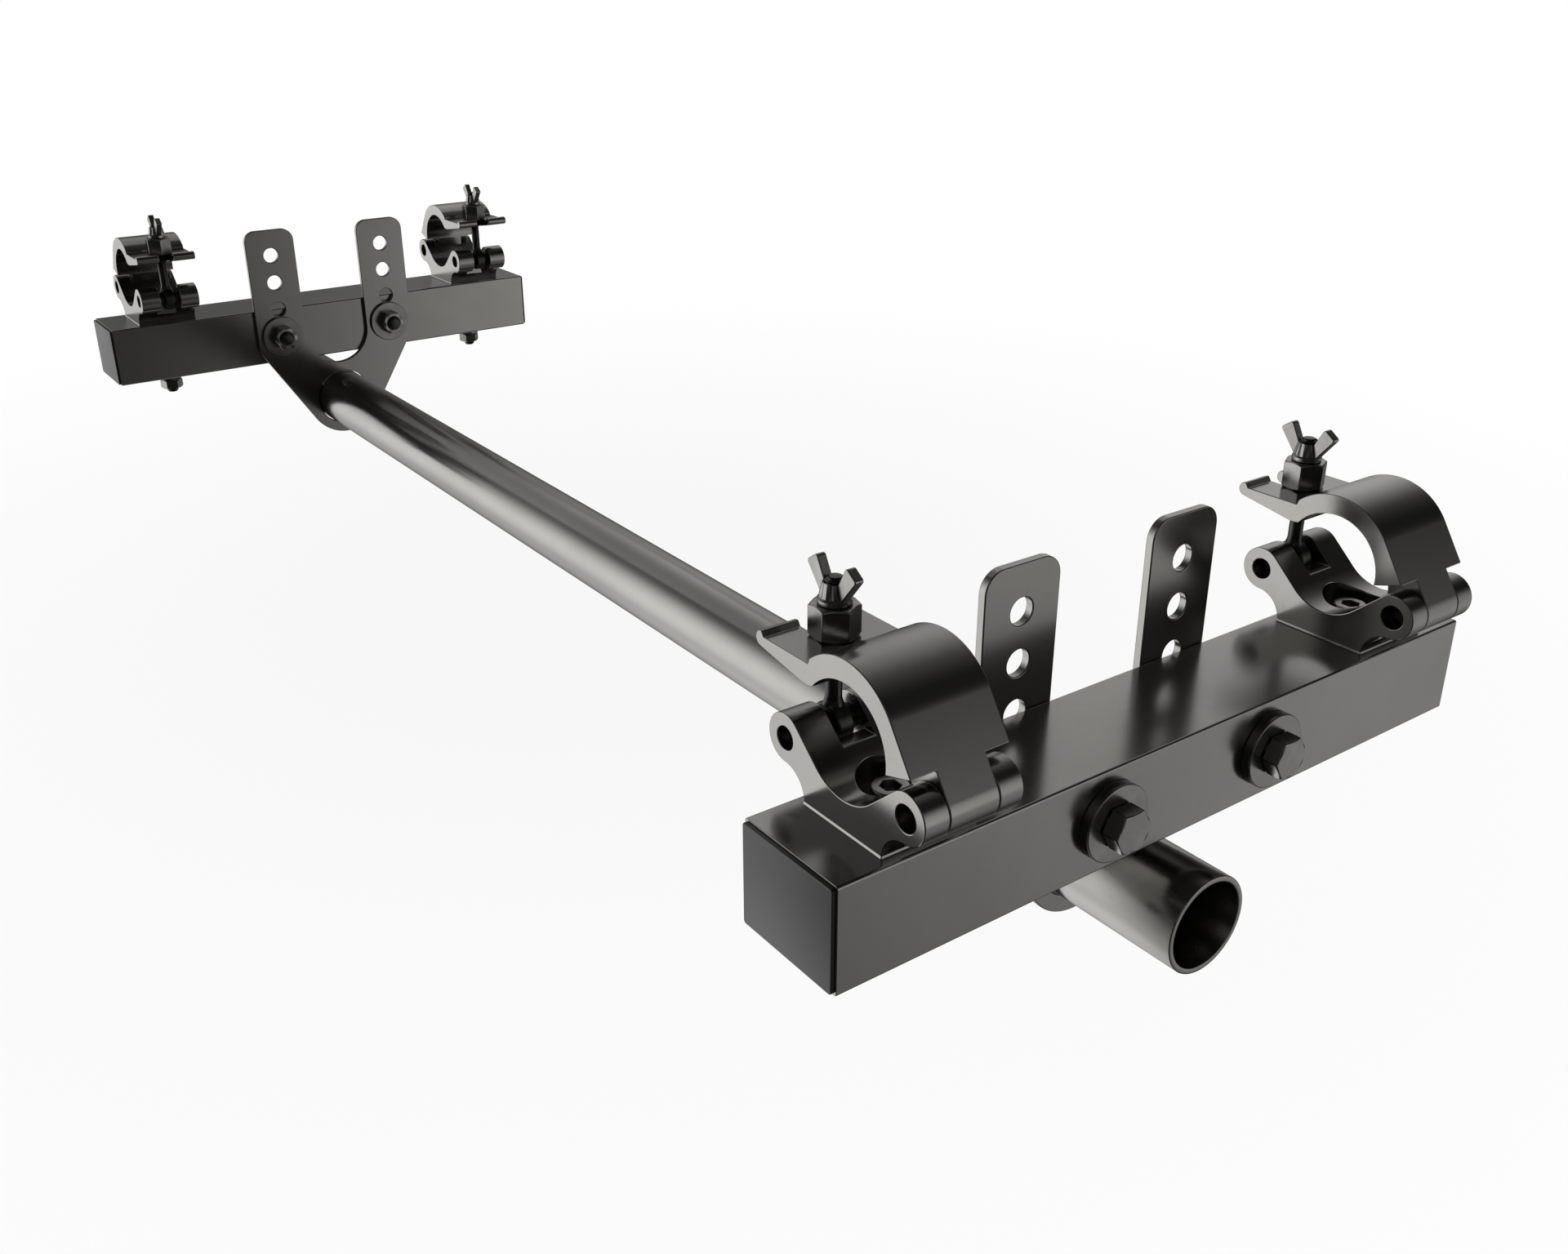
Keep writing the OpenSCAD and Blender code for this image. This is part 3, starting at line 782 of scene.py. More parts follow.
@dataclass
class Shop:
    """What the builders of the sub-assemblies share: the frame, the finishes and the recipes."""

    frame: dict
    finishes: Finishes = field(default_factory=Finishes)
    recipes: Recipes = field(default_factory=Recipes)

    def body_of(self, node: str) -> str:
        """Name of the body that a CAD node belongs to."""
        return self.frame["nodes"][node]["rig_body"]

    def install(
        self, node: str, mesh: bpy.types.Mesh, finish: bpy.types.Material, slot: str, place: Matrix
    ) -> None:
        """Puts a finished piece in place of its CAD node, as an object at the origin and unscaled.

        A bolt's mesh has its head's seat at or above z = 0, and what lies below is its oiled shank.

        Args:
            node: Name of the CAD node that the piece stands for.
            mesh: The piece's mesh in millimetres, in its own place, which is copied.
            finish: Its material.
            slot: The record's material slot.
            place: From the mesh's millimetres to the frame's millimetres.
        """
        own = mesh.copy()
        shank = [int(slot == "bolt" and face.center.z < 0) for face in own.polygons]
        own.transform(Matrix.Scale(MM, 4) @ place)
        own.materials.clear()
        own.materials.append(finish)
        if any(shank):
            own.materials.append(self.finishes.oxide)
            own.polygons.foreach_set("material_index", shank)
        piece = put(f"{node}_look", own)
        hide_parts(node)
        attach(piece, self.body_of(node))
        log.info("%s: %d faces on %s", piece.name, len(own.polygons), self.body_of(node))


# Fasteners


@dataclass(frozen=True)
class Hexagon:
    """Hexagon head or nut with the usual 30 degree chamfer on its corners."""

    across: float
    height: float
    chamfer_below: bool = False
    bore: float = 0.0
    edge: float = 0.35
    bore_chamfer: float = 0.6
    seat: float = 0.985
    steps: int = 96

    def mesh(self, name: str) -> bpy.types.Mesh:
        """Builds the hexagon on z = 0.

        Args:
            name: Name of the mesh.

        Returns:
            The mesh, with its edges eased.
        """
        flat, count = self.across / 2, self.steps
        seat = flat * self.seat
        turns = [math.tau * i / count for i in range(count)]
        reach = [flat / math.cos(a % (math.pi / 3) - math.pi / 6) for a in turns]
        drops = [(r - seat) * math.tan(math.radians(30)) for r in reach]
        rings = [ring(reach, [self.height - drop for drop in drops]), circle(seat, self.height, count)]
        if self.chamfer_below:
            rings = [circle(seat, 0.0, count), ring(reach, drops), *rings]
        else:
            rings.insert(0, ring(reach, [0.0] * count))
        if self.bore:
            bore, slope = self.bore, self.bore_chamfer
            rings = [circle(bore, slope, count), circle(bore + slope, 0.0, count), *rings]
            rings += [circle(bore + slope, self.height, count), circle(bore, self.height - slope, count)]
        return eased(loft(name, rings, closed=bool(self.bore)), self.edge, 2, 35)


@dataclass(frozen=True)
class Thread:
    """Screw thread between two heights on a rod about Z, with a chamfered tip."""

    radius: float
    pitch: float
    foot: float
    tip: float
    chamfer: float = 0.9

    def mesh(self, name: str, recipes: Recipes, finish: bpy.types.Material) -> bpy.types.Mesh:
        """Builds the core and winds the ridge on it.

        Args:
            name: Name of the mesh.
            recipes: The Geometry Nodes trees.
            finish: The material.

        Returns:
            The threaded end.
        """
        root = self.radius - ROOT * self.pitch
        outline = [(AXIS, self.foot), (root, self.foot), (root, self.tip - self.chamfer * 0.6)]
        outline += [(root - 0.5, self.tip), (AXIS, self.tip)]
        core = eased(lathe(name, outline, 48), 0.12, 2, 30)
        length = self.tip - self.foot - self.chamfer - self.pitch * 0.6
        made = recipes.thread.run(
            core,
            Radius=self.radius - 0.5 * self.pitch,
            Pitch=self.pitch,
            Turns=max(1.0, length / self.pitch),
            Foot=self.foot + self.pitch * 0.5,
            Finish=finish,
        )
        return shaded(made, 38)


@dataclass(frozen=True)
class Shank:
    """Shank of a bolt down the Z axis, plain from its top and threaded for a length above its tip."""

    radius: float
    pitch: float
    top: float
    tip: float
    thread: float
    edge: float = 0.3
    overlap: float = 0.5

    def meshes(self, shop: Shop) -> list[bpy.types.Mesh]:
        """Builds both lengths.

        Args:
            shop: The finishes and recipes.

        Returns:
            The plain length and the threaded one.
        """
        foot = self.tip + self.thread
        plain = eased(rod("shank", self.radius, foot - self.overlap, self.top), self.edge)
        threaded = Thread(self.radius, self.pitch, -foot, -self.tip)
        threaded = threaded.mesh("thread", shop.recipes, shop.finishes.steel)
        threaded.transform(turned(180, "X"))
        return [plain, threaded]


# Sub-assemblies


@dataclass
class Bar:
    """The round main tube with its weld beads."""

    shop: Shop
    outside: float = 50.0
    wall: float = 3.0
    length: float = 1141.0
    edge: float = 0.5
    plate_faces: dict = field(default_factory=lambda: {End.FRONT: -488.0, End.REAR: 492.5})
    stations: int = 24
    weld_sweep: float = 70.0
    weld_margin: float = 3.0
    weld_centre: float = 1.2
    ripple: tuple[float, float, float] = (2.3, 2.3, 1.5)
    ripple_step: float = 1.25

    def tube(self) -> bpy.types.Mesh:
        """Turns the tube's wall, with eased ends.

        Returns:
            The tube's mesh about Z.
        """
        outer, inner, half = self.outside / 2, self.outside / 2 - self.wall, self.length / 2
        stations = [half * (-1 + 2 * i / self.stations) for i in range(1, self.stations)]
        ease = ease_steps(self.edge)
        outline = [(outer - x, -half + z) for x, z in ease]
        outline += [(outer, z) for z in stations]
        outline += [(outer - x, half - z) for x, z in reversed(ease)]
        outline += [(inner + x, half - z) for x, z in ease]
        outline += [(inner, z) for z in reversed(stations)]
        outline += [(inner + x, -half + z) for x, z in reversed(ease)]
        return shaded(lathe("main_tube", outline, 128, closed=True), 60)

    def beads(self) -> bpy.types.Mesh:
        """Lays both weld beads round Z, standing on z = 0.

        Returns:
            The beads' mesh.
        """
        build = bmesh.new()
        bmesh.ops.create_uvsphere(build, u_segments=14, v_segments=8, radius=1.0)
        bmesh.ops.transform(build, verts=build.verts, matrix=Matrix.Diagonal((*self.ripple, 1)))
        ripple = mesh_from("ripple", build)
        halves = []
        for middle in (0.0, 180.0):
            bead = self.shop.recipes.weld.run(
                ripple.copy(),
                Radius=self.outside / 2 + self.weld_centre,
                Start_Angle=math.radians(middle - self.weld_sweep / 2 + self.weld_margin),
                Sweep=math.radians(self.weld_sweep - 2 * self.weld_margin),
                Spacing=self.ripple_step,
                Finish=self.shop.finishes.satin,
            )
            halves.append(bead)
        mesh = joined("beads", halves)
        mesh.transform(moved(z=self.weld_centre))
        mesh.shade_smooth()
        return mesh

    def build(self) -> None:
        """Builds and installs the tube and its beads."""
        satin = self.shop.finishes.satin
        self.shop.install("main_tube", self.tube(), satin, "tube", turned(90, "X"))
        beads = self.beads()
        for end, face in self.plate_faces.items():
            name = f"weld_beads_{end.name.lower()}"
            self.shop.install(name, beads, satin, "plate", moved(y=face) @ turned(-90, "X"))


@dataclass
class Fork:
    """Fork plate at one end of the tube, with the bolts, washers and nuts that hold its crossbar."""

    shop: Shop
    thick: float = 4.5
    arm_gap: float = 60.0
    arm_width: float = 45.0
    arm_corner: float = 10.5
    tube_radius: float = 25.0
    boss_wall: float = 10.0
    throat_wall: float = 9.5
    flank_angle: float = 58.0
    flank_round: float = 20.0
    plate_slack: float = 0.75
    hole_rise: float = 67.0
    hole_pitch: float = 25.0
    hole_rows: int = 4
    hole_d: float = 13.5
    hole_margin: float = 23.0
    bar_inner: float = 492.5
    bar_outer: float = 552.5
    bolt_radius: float = 6.0
    bolt_pitch: float = 1.75
    hex_across: float = 19.0
    head: float = 8.9
    head_edge: float = 0.5
    face_radius: float = 8.9
    face: float = 0.4
    face_overlap: float = 0.1
    nut: float = 10.0
    thread: float = 34.0
    washer_d: float = 37.0
    washer_slack: float = 0.5
    washer_edge: float = 0.6
    outer_washer: float = 5.0
    inner_washer: float = 3.0
    bolt_end: float = 3.2
    edge: float = 0.55

    @property
    def hole_x(self) -> float:
        """Distance of the holes from the middle."""
        return (self.arm_gap + self.arm_width) / 2

    def outline(self) -> list[Point]:
        """Outline of the plate in (X, Z).

        Returns:
            The outline, counter-clockwise from the bottom.
        """
        boss = self.tube_radius + self.boss_wall
        reach = self.arm_gap / 2 + self.arm_width
        top = self.hole_rise + (self.hole_rows - 1) * self.hole_pitch + self.hole_margin
        foot = on_circle((0, 0), boss, self.flank_angle - 90)
        kink = foot[1] + (reach - foot[0]) * math.tan(math.radians(self.flank_angle))
        rise = self.flank_round * math.tan(math.radians((90 - self.flank_angle) / 2))
        throat = self.tube_radius + self.throat_wall + self.arm_gap / 2
        shoulder = top - self.arm_corner
        half = arc((0, 0), boss, -90, self.flank_angle - 90)
        half += arc((reach - self.flank_round, kink + rise), self.flank_round, self.flank_angle - 90, 0)
        half += arc((reach - self.arm_corner, shoulder), self.arm_corner, 0, 90, 6)
        half += arc((self.arm_gap / 2 + self.arm_corner, shoulder), self.arm_corner, 90, 180, 6)
        half += arc((0, throat), self.arm_gap / 2, 0, -90, 3)
        return half + mirrored(half)[1:-1]

    def plate(self) -> bpy.types.Mesh:
        """Builds the plate, lying on y = 0 towards -Y.

        Returns:
            The plate's mesh.
        """
        outline = self.outline()
        slab = loft("fork_plate", [[(x, y, z) for x, z in outline] for y in (-self.thick, 0.0)])
        reach = 2 * self.thick
        cutters = [drill(self.tube_radius + self.plate_slack, (0, -reach, 0), (0, reach, 0), 96)]
        for side in Side:
            for row in range(self.hole_rows):
                x, z = side.value * self.hole_x, self.hole_rise + row * self.hole_pitch
                cutters.append(drill(self.hole_d / 2, (x, -reach, z), (x, reach, z), 56))
        return eased(cut(slab, cutters), self.edge, 3)

    def bolt(self) -> bpy.types.Mesh:
        """Builds a hexagon bolt with its head's seat on z = 0 and its shank downwards.

        Returns:
            The bolt's mesh.
        """
        length = self.bar_outer + self.outer_washer - self.bar_inner
        length += self.thick + self.inner_washer + self.nut + self.bolt_end
        shank = Shank(self.bolt_radius, self.bolt_pitch, 0.0, -length, self.thread)
        face = rod("washer_face", self.face_radius, 0.0, self.face + self.face_overlap, 72)
        head = Hexagon(self.hex_across, self.head - self.face, edge=self.head_edge).mesh("head")
        head.transform(moved(z=self.face))
        return joined("fork_bolt", [head, face, *shank.meshes(self.shop)])

    def washer(self, thick: float) -> bpy.types.Mesh:
        """Builds a washer on z = 0.

        Args:
            thick: Its thickness.

        Returns:
            The washer's mesh.
        """
        inner, outer = self.bolt_radius + self.washer_slack, self.washer_d / 2
        outline = [(inner, 0), (outer, 0), (outer, thick), (inner, thick)]
        return eased(lathe("washer", outline, 96, closed=True), self.washer_edge, 3)

    def pair(self, mesh: bpy.types.Mesh) -> bpy.types.Mesh:
        """Both places of a fastener along X, by the row recipe."""
        first, step, finish = (-self.hole_x, 0, 0), (2 * self.hole_x, 0, 0), self.shop.finishes.steel
        return self.shop.recipes.row.run(mesh, Count=2, Step=step, Start=first, Finish=finish)

    def build(self) -> None:
        """Builds and installs the plate and the fasteners at both ends."""
        finishes = self.shop.finishes
        plate = self.plate()
        washer_seat = self.bar_inner - self.thick - self.inner_washer
        nut = Hexagon(self.hex_across, self.nut, True, self.bolt_radius).mesh("fork_nut")
        rows = (
            ("fork_bolts", self.bolt(), self.bar_outer + self.outer_washer, "bolt"),
            ("outer_washers", self.washer(self.outer_washer), self.bar_outer, "washer"),
            ("inner_washers", self.washer(self.inner_washer), washer_seat, "washer"),
            ("fork_nuts", nut, washer_seat - self.nut, "fastener"),
        )
        pairs = [(name, self.pair(mesh), seat, slot) for name, mesh, seat, slot in rows]
        for end in End:
            tag = end.name.lower()
            turn = turned(0 if end is End.REAR else 180, "Z")
            place = turn @ moved(y=self.bar_inner)
            self.shop.install(f"fork_plate_{tag}", plate, finishes.satin, "plate", place)
            for name, mesh, seat, slot in pairs:
                place = turn @ moved(y=seat, z=self.hole_rise) @ turned(-90, "X")
                self.shop.install(f"{name}_{tag}", mesh, finishes.steel, slot, place)


@dataclass
class Crossbar:
    """Box-section crossbar with its two end caps."""

    shop: Shop
    length: float = 399.0
    depth: float = 60.0
    height: float = 50.0
    wall: float = 3.0
    corner: float = 1.3
    inner_corner: float = 0.6
    edge: float = 0.25
    rise: float = 67.0
    spacing: float = 1045.0
    hole_x: float = 52.5
    hole_d: float = 13.5
    coupler_x: float = 150.0
    coupler_hole: float = 10.8
    flange: float = 2.0
    flange_inset: float = 1.0
    flange_round: float = 0.35
    plug: float = 14.0
    plug_wall: float = 2.0
    plug_slack: float = 0.1
    plug_corner: float = 0.8
    plug_edge: float = 0.3
    plug_root: float = 0.5
    plug_floor: float = 0.3

    def section(self) -> bpy.types.Mesh:
        """Builds the drilled box section along X.

        Returns:
            The section's mesh.
        """
        half, reach, hollow = self.length / 2, self.height, 2 * self.wall
        body = prism("crossbar", rounded_box(self.depth, self.height, self.corner), -half, half)
        inner = rounded_box(self.depth - hollow, self.height - hollow, self.inner_corner)
        cutters = [prism("cutter", inner, -half - PAST, half + PAST)]
        for side in Side:
            x = side.value * self.hole_x
            cutters.append(drill(self.hole_d / 2, (x, -reach, 0), (x, reach, 0), 48))
            x = side.value * self.coupler_x
            cutters.append(drill(self.coupler_hole / 2, (x, 0, -reach), (x, 0, reach), 48))
        return eased(cut(body, cutters), self.edge, 2, 40)

    def cap(self) -> bpy.types.Mesh:
        """Builds an end cap whose flange stands on x = 0 towards +X.

        Returns:
            The cap's mesh.
        """
        ease = reversed(ease_steps(self.flange_round))
        steps = [(0.0, 0.0)] + [(self.flange - x, inset) for inset, x in ease]
        rings = []
        for x, inset in steps:
            shrink = 2 * (self.flange_inset + inset)
            outline = rounded_box(self.depth - shrink, self.height - shrink, self.corner)
            rings.append([(x, y, z) for y, z in outline])
        flange = shaded(loft("end_cap", rings), 30)
        shrink = 2 * (self.wall + self.plug_slack)
        outer = rounded_box(self.depth - shrink, self.height - shrink, self.plug_corner)
        shrink += 2 * self.plug_wall
        inner = rounded_box(self.depth - shrink, self.height - shrink, self.inner_corner)
        walls = prism("plug", outer, -self.plug, self.plug_root)
        walls = cut(walls, [prism("cutter", inner, -self.plug - PAST, self.plug_floor)])
        return joined("end_cap", [flange, eased(walls, self.plug_edge)])

    def build(self) -> None:
        """Builds and installs both crossbars and the four caps."""
        finishes = self.shop.finishes
        section, cap = self.section(), self.cap()
        for end in End:
            tag = end.name.lower()
            middle = moved(0, end.value * self.spacing / 2, self.rise)
            self.shop.install(f"crossbar_{tag}", section, finishes.satin, "crossbar", middle)
            for side in Side:
                place = middle @ turned(0 if side is Side.RIGHT else 180, "Z") @ moved(self.length / 2)
                self.shop.install(f"end_cap_{tag}_{side.name.lower()}", cap, finishes.cap, "cap", place)


@dataclass
class Coupler:
    """Hinged half coupler: base, jaw, pins, eye bolt, clamp nut, wing nut and mounting bolt.

    Its pieces are built seen along the bore, with the foot on z = 0 and the swing pin at +Y.
    """

    shop: Shop
    offset: float = 150.0
    spacing: float = 1045.0
    bar_top: float = 92.0
    width: float = 49.0
    bore: float = 25.2
    saddle_floor: float = 13.8
    pin_span: float = 75.0
    pin_rise: float = 24.0
    ear: float = 11.0
    hinge_pin_d: float = 11.5
    swing_pin_d: float = 10.5
    pin_recess: float = 8.0
    pin_chamfer: float = 0.8
    pin_dish: float = 0.9
    fit_slack: float = 0.05
    hinge_slot: float = 25.0
    swing_slot: float = 17.0
    web_rise: float = 22.7
    slot_clearance: float = 1.0
    jaw_wall: float = 7.8
    jaw_crown: float = 2.0
    heel_outer: float = 17.0
    heel_inner: float = 12.4
    heel_step: float = 0.8
    knuckle_clearance: float = 0.3
    lip_rise: float = 39.3
    lip_reach: float = 19.9
    lip_tip: float = 3.45
    lip_ridge: float = 2.3
    lip_root: float = 9.3
    lip_angle: float = 42.0
    lip_root_run: float = 7.6
    lip_notch: float = 3.9
    lip_wall: float = 0.7
    lip_bevel: float = 1.4
    lip_bevel_angle: float = 3.2
    lip_under: float = 3.4
    ridge_flat: float = 0.5
    ridge_run: float = 2.0
    lip_slot: float = 12.0
    lip_slot_gap: float = 0.5
    thread_d: float = 8.0
    thread_pitch: float = 1.25
    shank_d: float = 7.2
    bolt_end: float = 2.4
    thread_length: float = 33.0
    thread_chamfer: float = 0.8
    eye_radius: float = 9.5
    eye_width: float = 8.0
    eye_edge: float = 0.9
    neck_sink: float = 1.2
    neck_flare: tuple[Point, ...] = ((1.0, 0.0), (0.35, 1.8), (0.0, 3.2))
    nut_across: float = 19.0
    nut_height: float = 14.0
    nut_turn: float = 25.4
    nut_edge: float = 0.4
    seat_gap: float = 0.1
    collar_radius: float = 7.25
    collar_h: float = 2.8
    hub_radius: float = 6.75
    hub_top_radius: float = 5.4
    hub_h: float = 6.3
    wing_thick: float = 4.5
    wing_reach: float = 15.3
    wing_rise: float = 17.8
    wing_round: float = 1.4
    wing_edge: float = 0.5
    flutes: int = 10
    hub_steps: int = 120
    mount_d: float = 10.0
    mount_head_d: float = 16.6
    mount_head_h: float = 6.0
    mount_key: float = 8.0
    mount_key_depth: float = 4.0
    mount_pitch: float = 1.5
    mount_thread: float = 30.0
    mount_edge: float = 0.3
    mount_slack: float = 0.4
    pocket_d: float = 28.0
    pocket_floor: float = 5.7
    mount_nut_across: float = 17.0
    mount_nut_h: float = 7.7
    mount_end: float = 4.0
    bar_height: float = 50.0
    hem_height: float = 0.9
    hem_reach: float = 0.4
    hem_corner: float = 0.4
    edge: float = 0.45

    def __post_init__(self) -> None:
        """Works out the centres of the circles."""
        self.bore_c = (0.0, self.saddle_floor + self.bore)
        self.hinge_c = (-self.pin_span / 2, self.pin_rise)
        self.swing_c = (self.pin_span / 2, self.pin_rise)
        self.arch_c = (0.0, self.bore_c[1] + self.jaw_crown)
        self.arch_r = self.bore + self.jaw_wall
        self.lip_z = self.pin_rise + self.lip_rise
        self.nut_z = self.lip_z + self.seat_gap
        self.wing_z = self.nut_z + self.nut_height + self.seat_gap
        self.bolt_top = self.wing_z + self.collar_h + self.hub_h + self.bolt_end

    def base_outline(self) -> list[Point]:
        """Outline of the base in (Y, Z).

        Returns:
            The outline, counter-clockwise from the foot.
        """
        waist = self.pin_rise - self.ear
        tilt = lean(self.bore + self.ear, self.bore_c, self.swing_c)
        shoulder = bearing(self.bore_c, self.swing_c) - tilt
        half = arc((self.swing_c[0], 0), waist, 180, 90, 6)
        half += arc(self.swing_c, self.ear, -90, shoulder + 180)[1:]
        half += arc(self.bore_c, self.bore, shoulder, -90, 3)
        return half + mirrored(half)[1:]

    def base(self) -> bpy.types.Mesh:
        """Builds the base with its slots, pin holes and the pocket of the mounting bolt.

        Returns:
            The base's mesh.
        """
        half, past, long, tall = self.width / 2, self.width / 2 + PAST, 60, 90
        hinge_wall = self.hinge_c[0] + self.ear + self.slot_clearance
        swing_wall = self.swing_c[0] - self.eye_radius - self.slot_clearance
        body = prism("coupler_base", self.base_outline(), -half, half)
        cutters = [
            box((self.hinge_slot, long, tall), (0, hinge_wall - long / 2, tall / 2 - PAST)),
            box((self.swing_slot, long, tall), (0, swing_wall + long / 2, tall / 2 - PAST)),
            box((self.swing_slot, long, tall), (0, long / 2, self.web_rise + tall / 2)),
            drill(self.hinge_pin_d / 2, (-past, *self.hinge_c), (past, *self.hinge_c)),
            drill(self.swing_pin_d / 2, (-past, *self.swing_c), (past, *self.swing_c)),
            drill(self.pocket_d / 2, (0, 0, self.pocket_floor), (0, 0, 80), 72),
            drill(self.mount_d / 2 + self.mount_slack, (0, 0, -PAST), (0, 0, 40), 48),
        ]
        return joined("coupler_base", [eased(cut(body, cutters), self.edge, 3), self.hem()])

    def hem(self) -> bpy.types.Mesh:
        """Builds the slim sloping hem round the foot, which catches the light along the crossbar.

        Returns:
            The hem's mesh.
        """
        foot = 2 * (self.swing_c[0] - (self.pin_rise - self.ear))
        reach, top, drilled = 2 * self.hem_reach, self.hem_height, self.pocket_d
        sizes = (
            (self.width + reach, foot + reach, 0.0),
            (self.width, foot, top),
            (drilled, drilled, top),
            (drilled, drilled, 0.0),
        )
        rings = [[(x, y, z) for x, y in rounded_box(wide, deep, self.hem_corner)] for wide, deep, z in sizes]
        hem = loft("hem", rings, closed=True)
        hem.shade_flat()
        return hem

    def jaw_outline(self) -> tuple[list[Point], Point, Point]:
        """Outline of the jaw with its knuckle in (Y, Z).

        Returns:
            The outline, and the outer and inner ends of the heel.
        """
        low = self.hinge_c
        back = bearing(self.arch_c, low) - lean(self.arch_r - self.ear, self.arch_c, low)
        back_high, back_low = on_circle(self.arch_c, self.arch_r, back), on_circle(low, self.ear, back)
        out_z, in_z = self.pin_rise + self.heel_outer, self.pin_rise + self.heel_inner
        share = (out_z - back_low[1]) / (back_high[1] - back_low[1])
        heel_out = (back_low[0] + share * (back_high[0] - back_low[0]), out_z)
        heel_in = (-math.sqrt(self.bore**2 - (in_z - self.bore_c[1]) ** 2), in_z)
        top_z = in_z - self.heel_step
        top = (-math.sqrt(self.bore**2 - (top_z - self.bore_c[1]) ** 2), top_z)
        inner = bearing(low, top) - math.degrees(math.acos(self.ear / math.dist(low, top)))
        start = on_circle(self.bore_c, self.bore, self.lip_angle)
        root = (start[0] + self.lip_root_run, self.lip_z - self.lip_root)
        tip = (self.swing_c[0] + self.lip_reach - self.lip_tip, self.lip_z + self.lip_ridge - self.lip_tip)
        under = bearing(root, tip) - math.degrees(math.acos(-self.lip_tip / math.dist(root, tip)))
        notch = start[0] + self.lip_notch
        wall = notch - self.lip_wall
        wall_angle = math.degrees(math.acos((wall - self.arch_c[0]) / self.arch_r))
        outline = arc(low, self.ear, back - 360, inner - 360 if inner > back else inner)
        bore_end = math.degrees(math.atan2(top[1] - self.bore_c[1], top[0])) % 360
        bevel, flat, ridge = self.lip_bevel, self.lip_z, self.lip_z + self.lip_ridge
        outline += arc(self.bore_c, self.bore, bore_end, self.lip_angle - self.lip_bevel_angle, 3)
        outline += [(start[0] + bevel, start[1] - bevel), (start[0] + self.lip_under, root[1]), root]
        outline += arc(tip, self.lip_tip, under, 90, 15)
        outline += [(tip[0] - self.ridge_flat, ridge), (tip[0] - self.ridge_run, flat), (notch, flat)]
        outline += arc(self.arch_c, self.arch_r, wall_angle, back % 360, 3)
        return outline, heel_out, heel_in

    def jaw(self) -> bpy.types.Mesh:
        """Builds the jaw: arch, heel, slotted lip and knuckle.

        Returns:
            The jaw's mesh.
        """
        half, knuckle = self.width / 2, self.hinge_slot / 2 - self.knuckle_clearance
        outline, heel_out, heel_in = self.jaw_outline()
        slope = (heel_out[1] - heel_in[1]) / (heel_out[0] - heel_in[0])
        far, near, deep = heel_out[0] - 12, heel_in[0] + 4, -9.0
        below = [(y, heel_in[1] + slope * (y - heel_in[0])) for y in (far, near)]
        below = [below[0], (far, deep), (near, deep), below[1]]
        slot, low, high = self.lip_slot / 2, 30, 90
        middle = self.swing_c[0] - self.thread_d / 2 - self.lip_slot_gap + slot
        pin = self.hinge_pin_d / 2 + self.fit_slack
        cutters = [
            prism("cutter", below, knuckle, half + PAST),
            prism("cutter", below, -half - PAST, -knuckle),
            drill(pin, (-half, *self.hinge_c), (half, *self.hinge_c)),
            prism("cutter", [(middle, low), (high, low), (high, high), (middle, high)], -slot, slot),
            drill(slot, (0, middle, low), (0, middle, high), 48),
        ]
        return eased(cut(prism("coupler_jaw", outline, -half, half), cutters), self.edge, 3)

    def pin(self, diameter: float, centre: Point) -> bpy.types.Mesh:
        """Builds a pin along X with chamfered, slightly dished ends.

        Args:
            diameter: Its diameter.
            centre: Its axis in (Y, Z).

        Returns:
            The pin's mesh.
        """
        half, r, edge = self.width / 2 - self.pin_recess, diameter / 2, self.pin_chamfer
        profile = [(AXIS, self.pin_dish), (r * 0.45, 0.7), (r * 0.62, 0.0), (r - edge, 0.0), (r, edge)]
        outline = [(x, -half + z) for x, z in profile] + [(x, half - z) for x, z in reversed(profile)]
        mesh = shaded(lathe("pin", outline, 64), 25)
        mesh.transform(moved(0, *centre) @ turned(90, "Y"))
        return mesh

    def eye_bolt(self) -> bpy.types.Mesh:
        """Builds the eye bolt: a flat eye round the swing pin, a plain neck and a long thread.

        Returns:
            The bolt's mesh.
        """
        half, outer, inner = self.eye_width / 2, self.eye_radius, self.swing_pin_d / 2 + self.fit_slack
        eye = lathe("eye", [(inner, -half), (outer, -half), (outer, half), (inner, half)], 72, closed=True)
        eye = eased(eye, self.eye_edge, 3)
        eye.transform(moved(z=self.pin_rise) @ turned(90, "Y"))
        foot = self.bolt_top - self.thread_length
        low = self.pin_rise + self.eye_radius - self.neck_sink
        r, end = self.shank_d / 2, foot + 0.6
        flare = [(r + out, low + up) for out, up in self.neck_flare]
        outline = [(AXIS, low), *flare, (r, foot), (r - 0.4, end), (AXIS, end)]
        neck = shaded(lathe("neck", outline, 48), 40)
        threaded = Thread(self.thread_d / 2, self.thread_pitch, foot, self.bolt_top, self.thread_chamfer)
        threaded = threaded.mesh("thread", self.shop.recipes, self.shop.finishes.steel)
        bolt = joined("eye_bolt", [eye, neck, threaded])
        bolt.transform(moved(y=self.swing_c[0]))
        return bolt

    def clamp_nut(self) -> bpy.types.Mesh:
        """Builds the tall clamp nut in place.

        Returns:
            The nut's mesh.
        """
        bore = self.thread_d / 2 + self.fit_slack
        mesh = Hexagon(self.nut_across, self.nut_height, True, bore, self.nut_edge).mesh("clamp_nut")
        mesh.transform(moved(0, self.swing_c[0], self.nut_z) @ turned(self.nut_turn, "Z"))
        return mesh

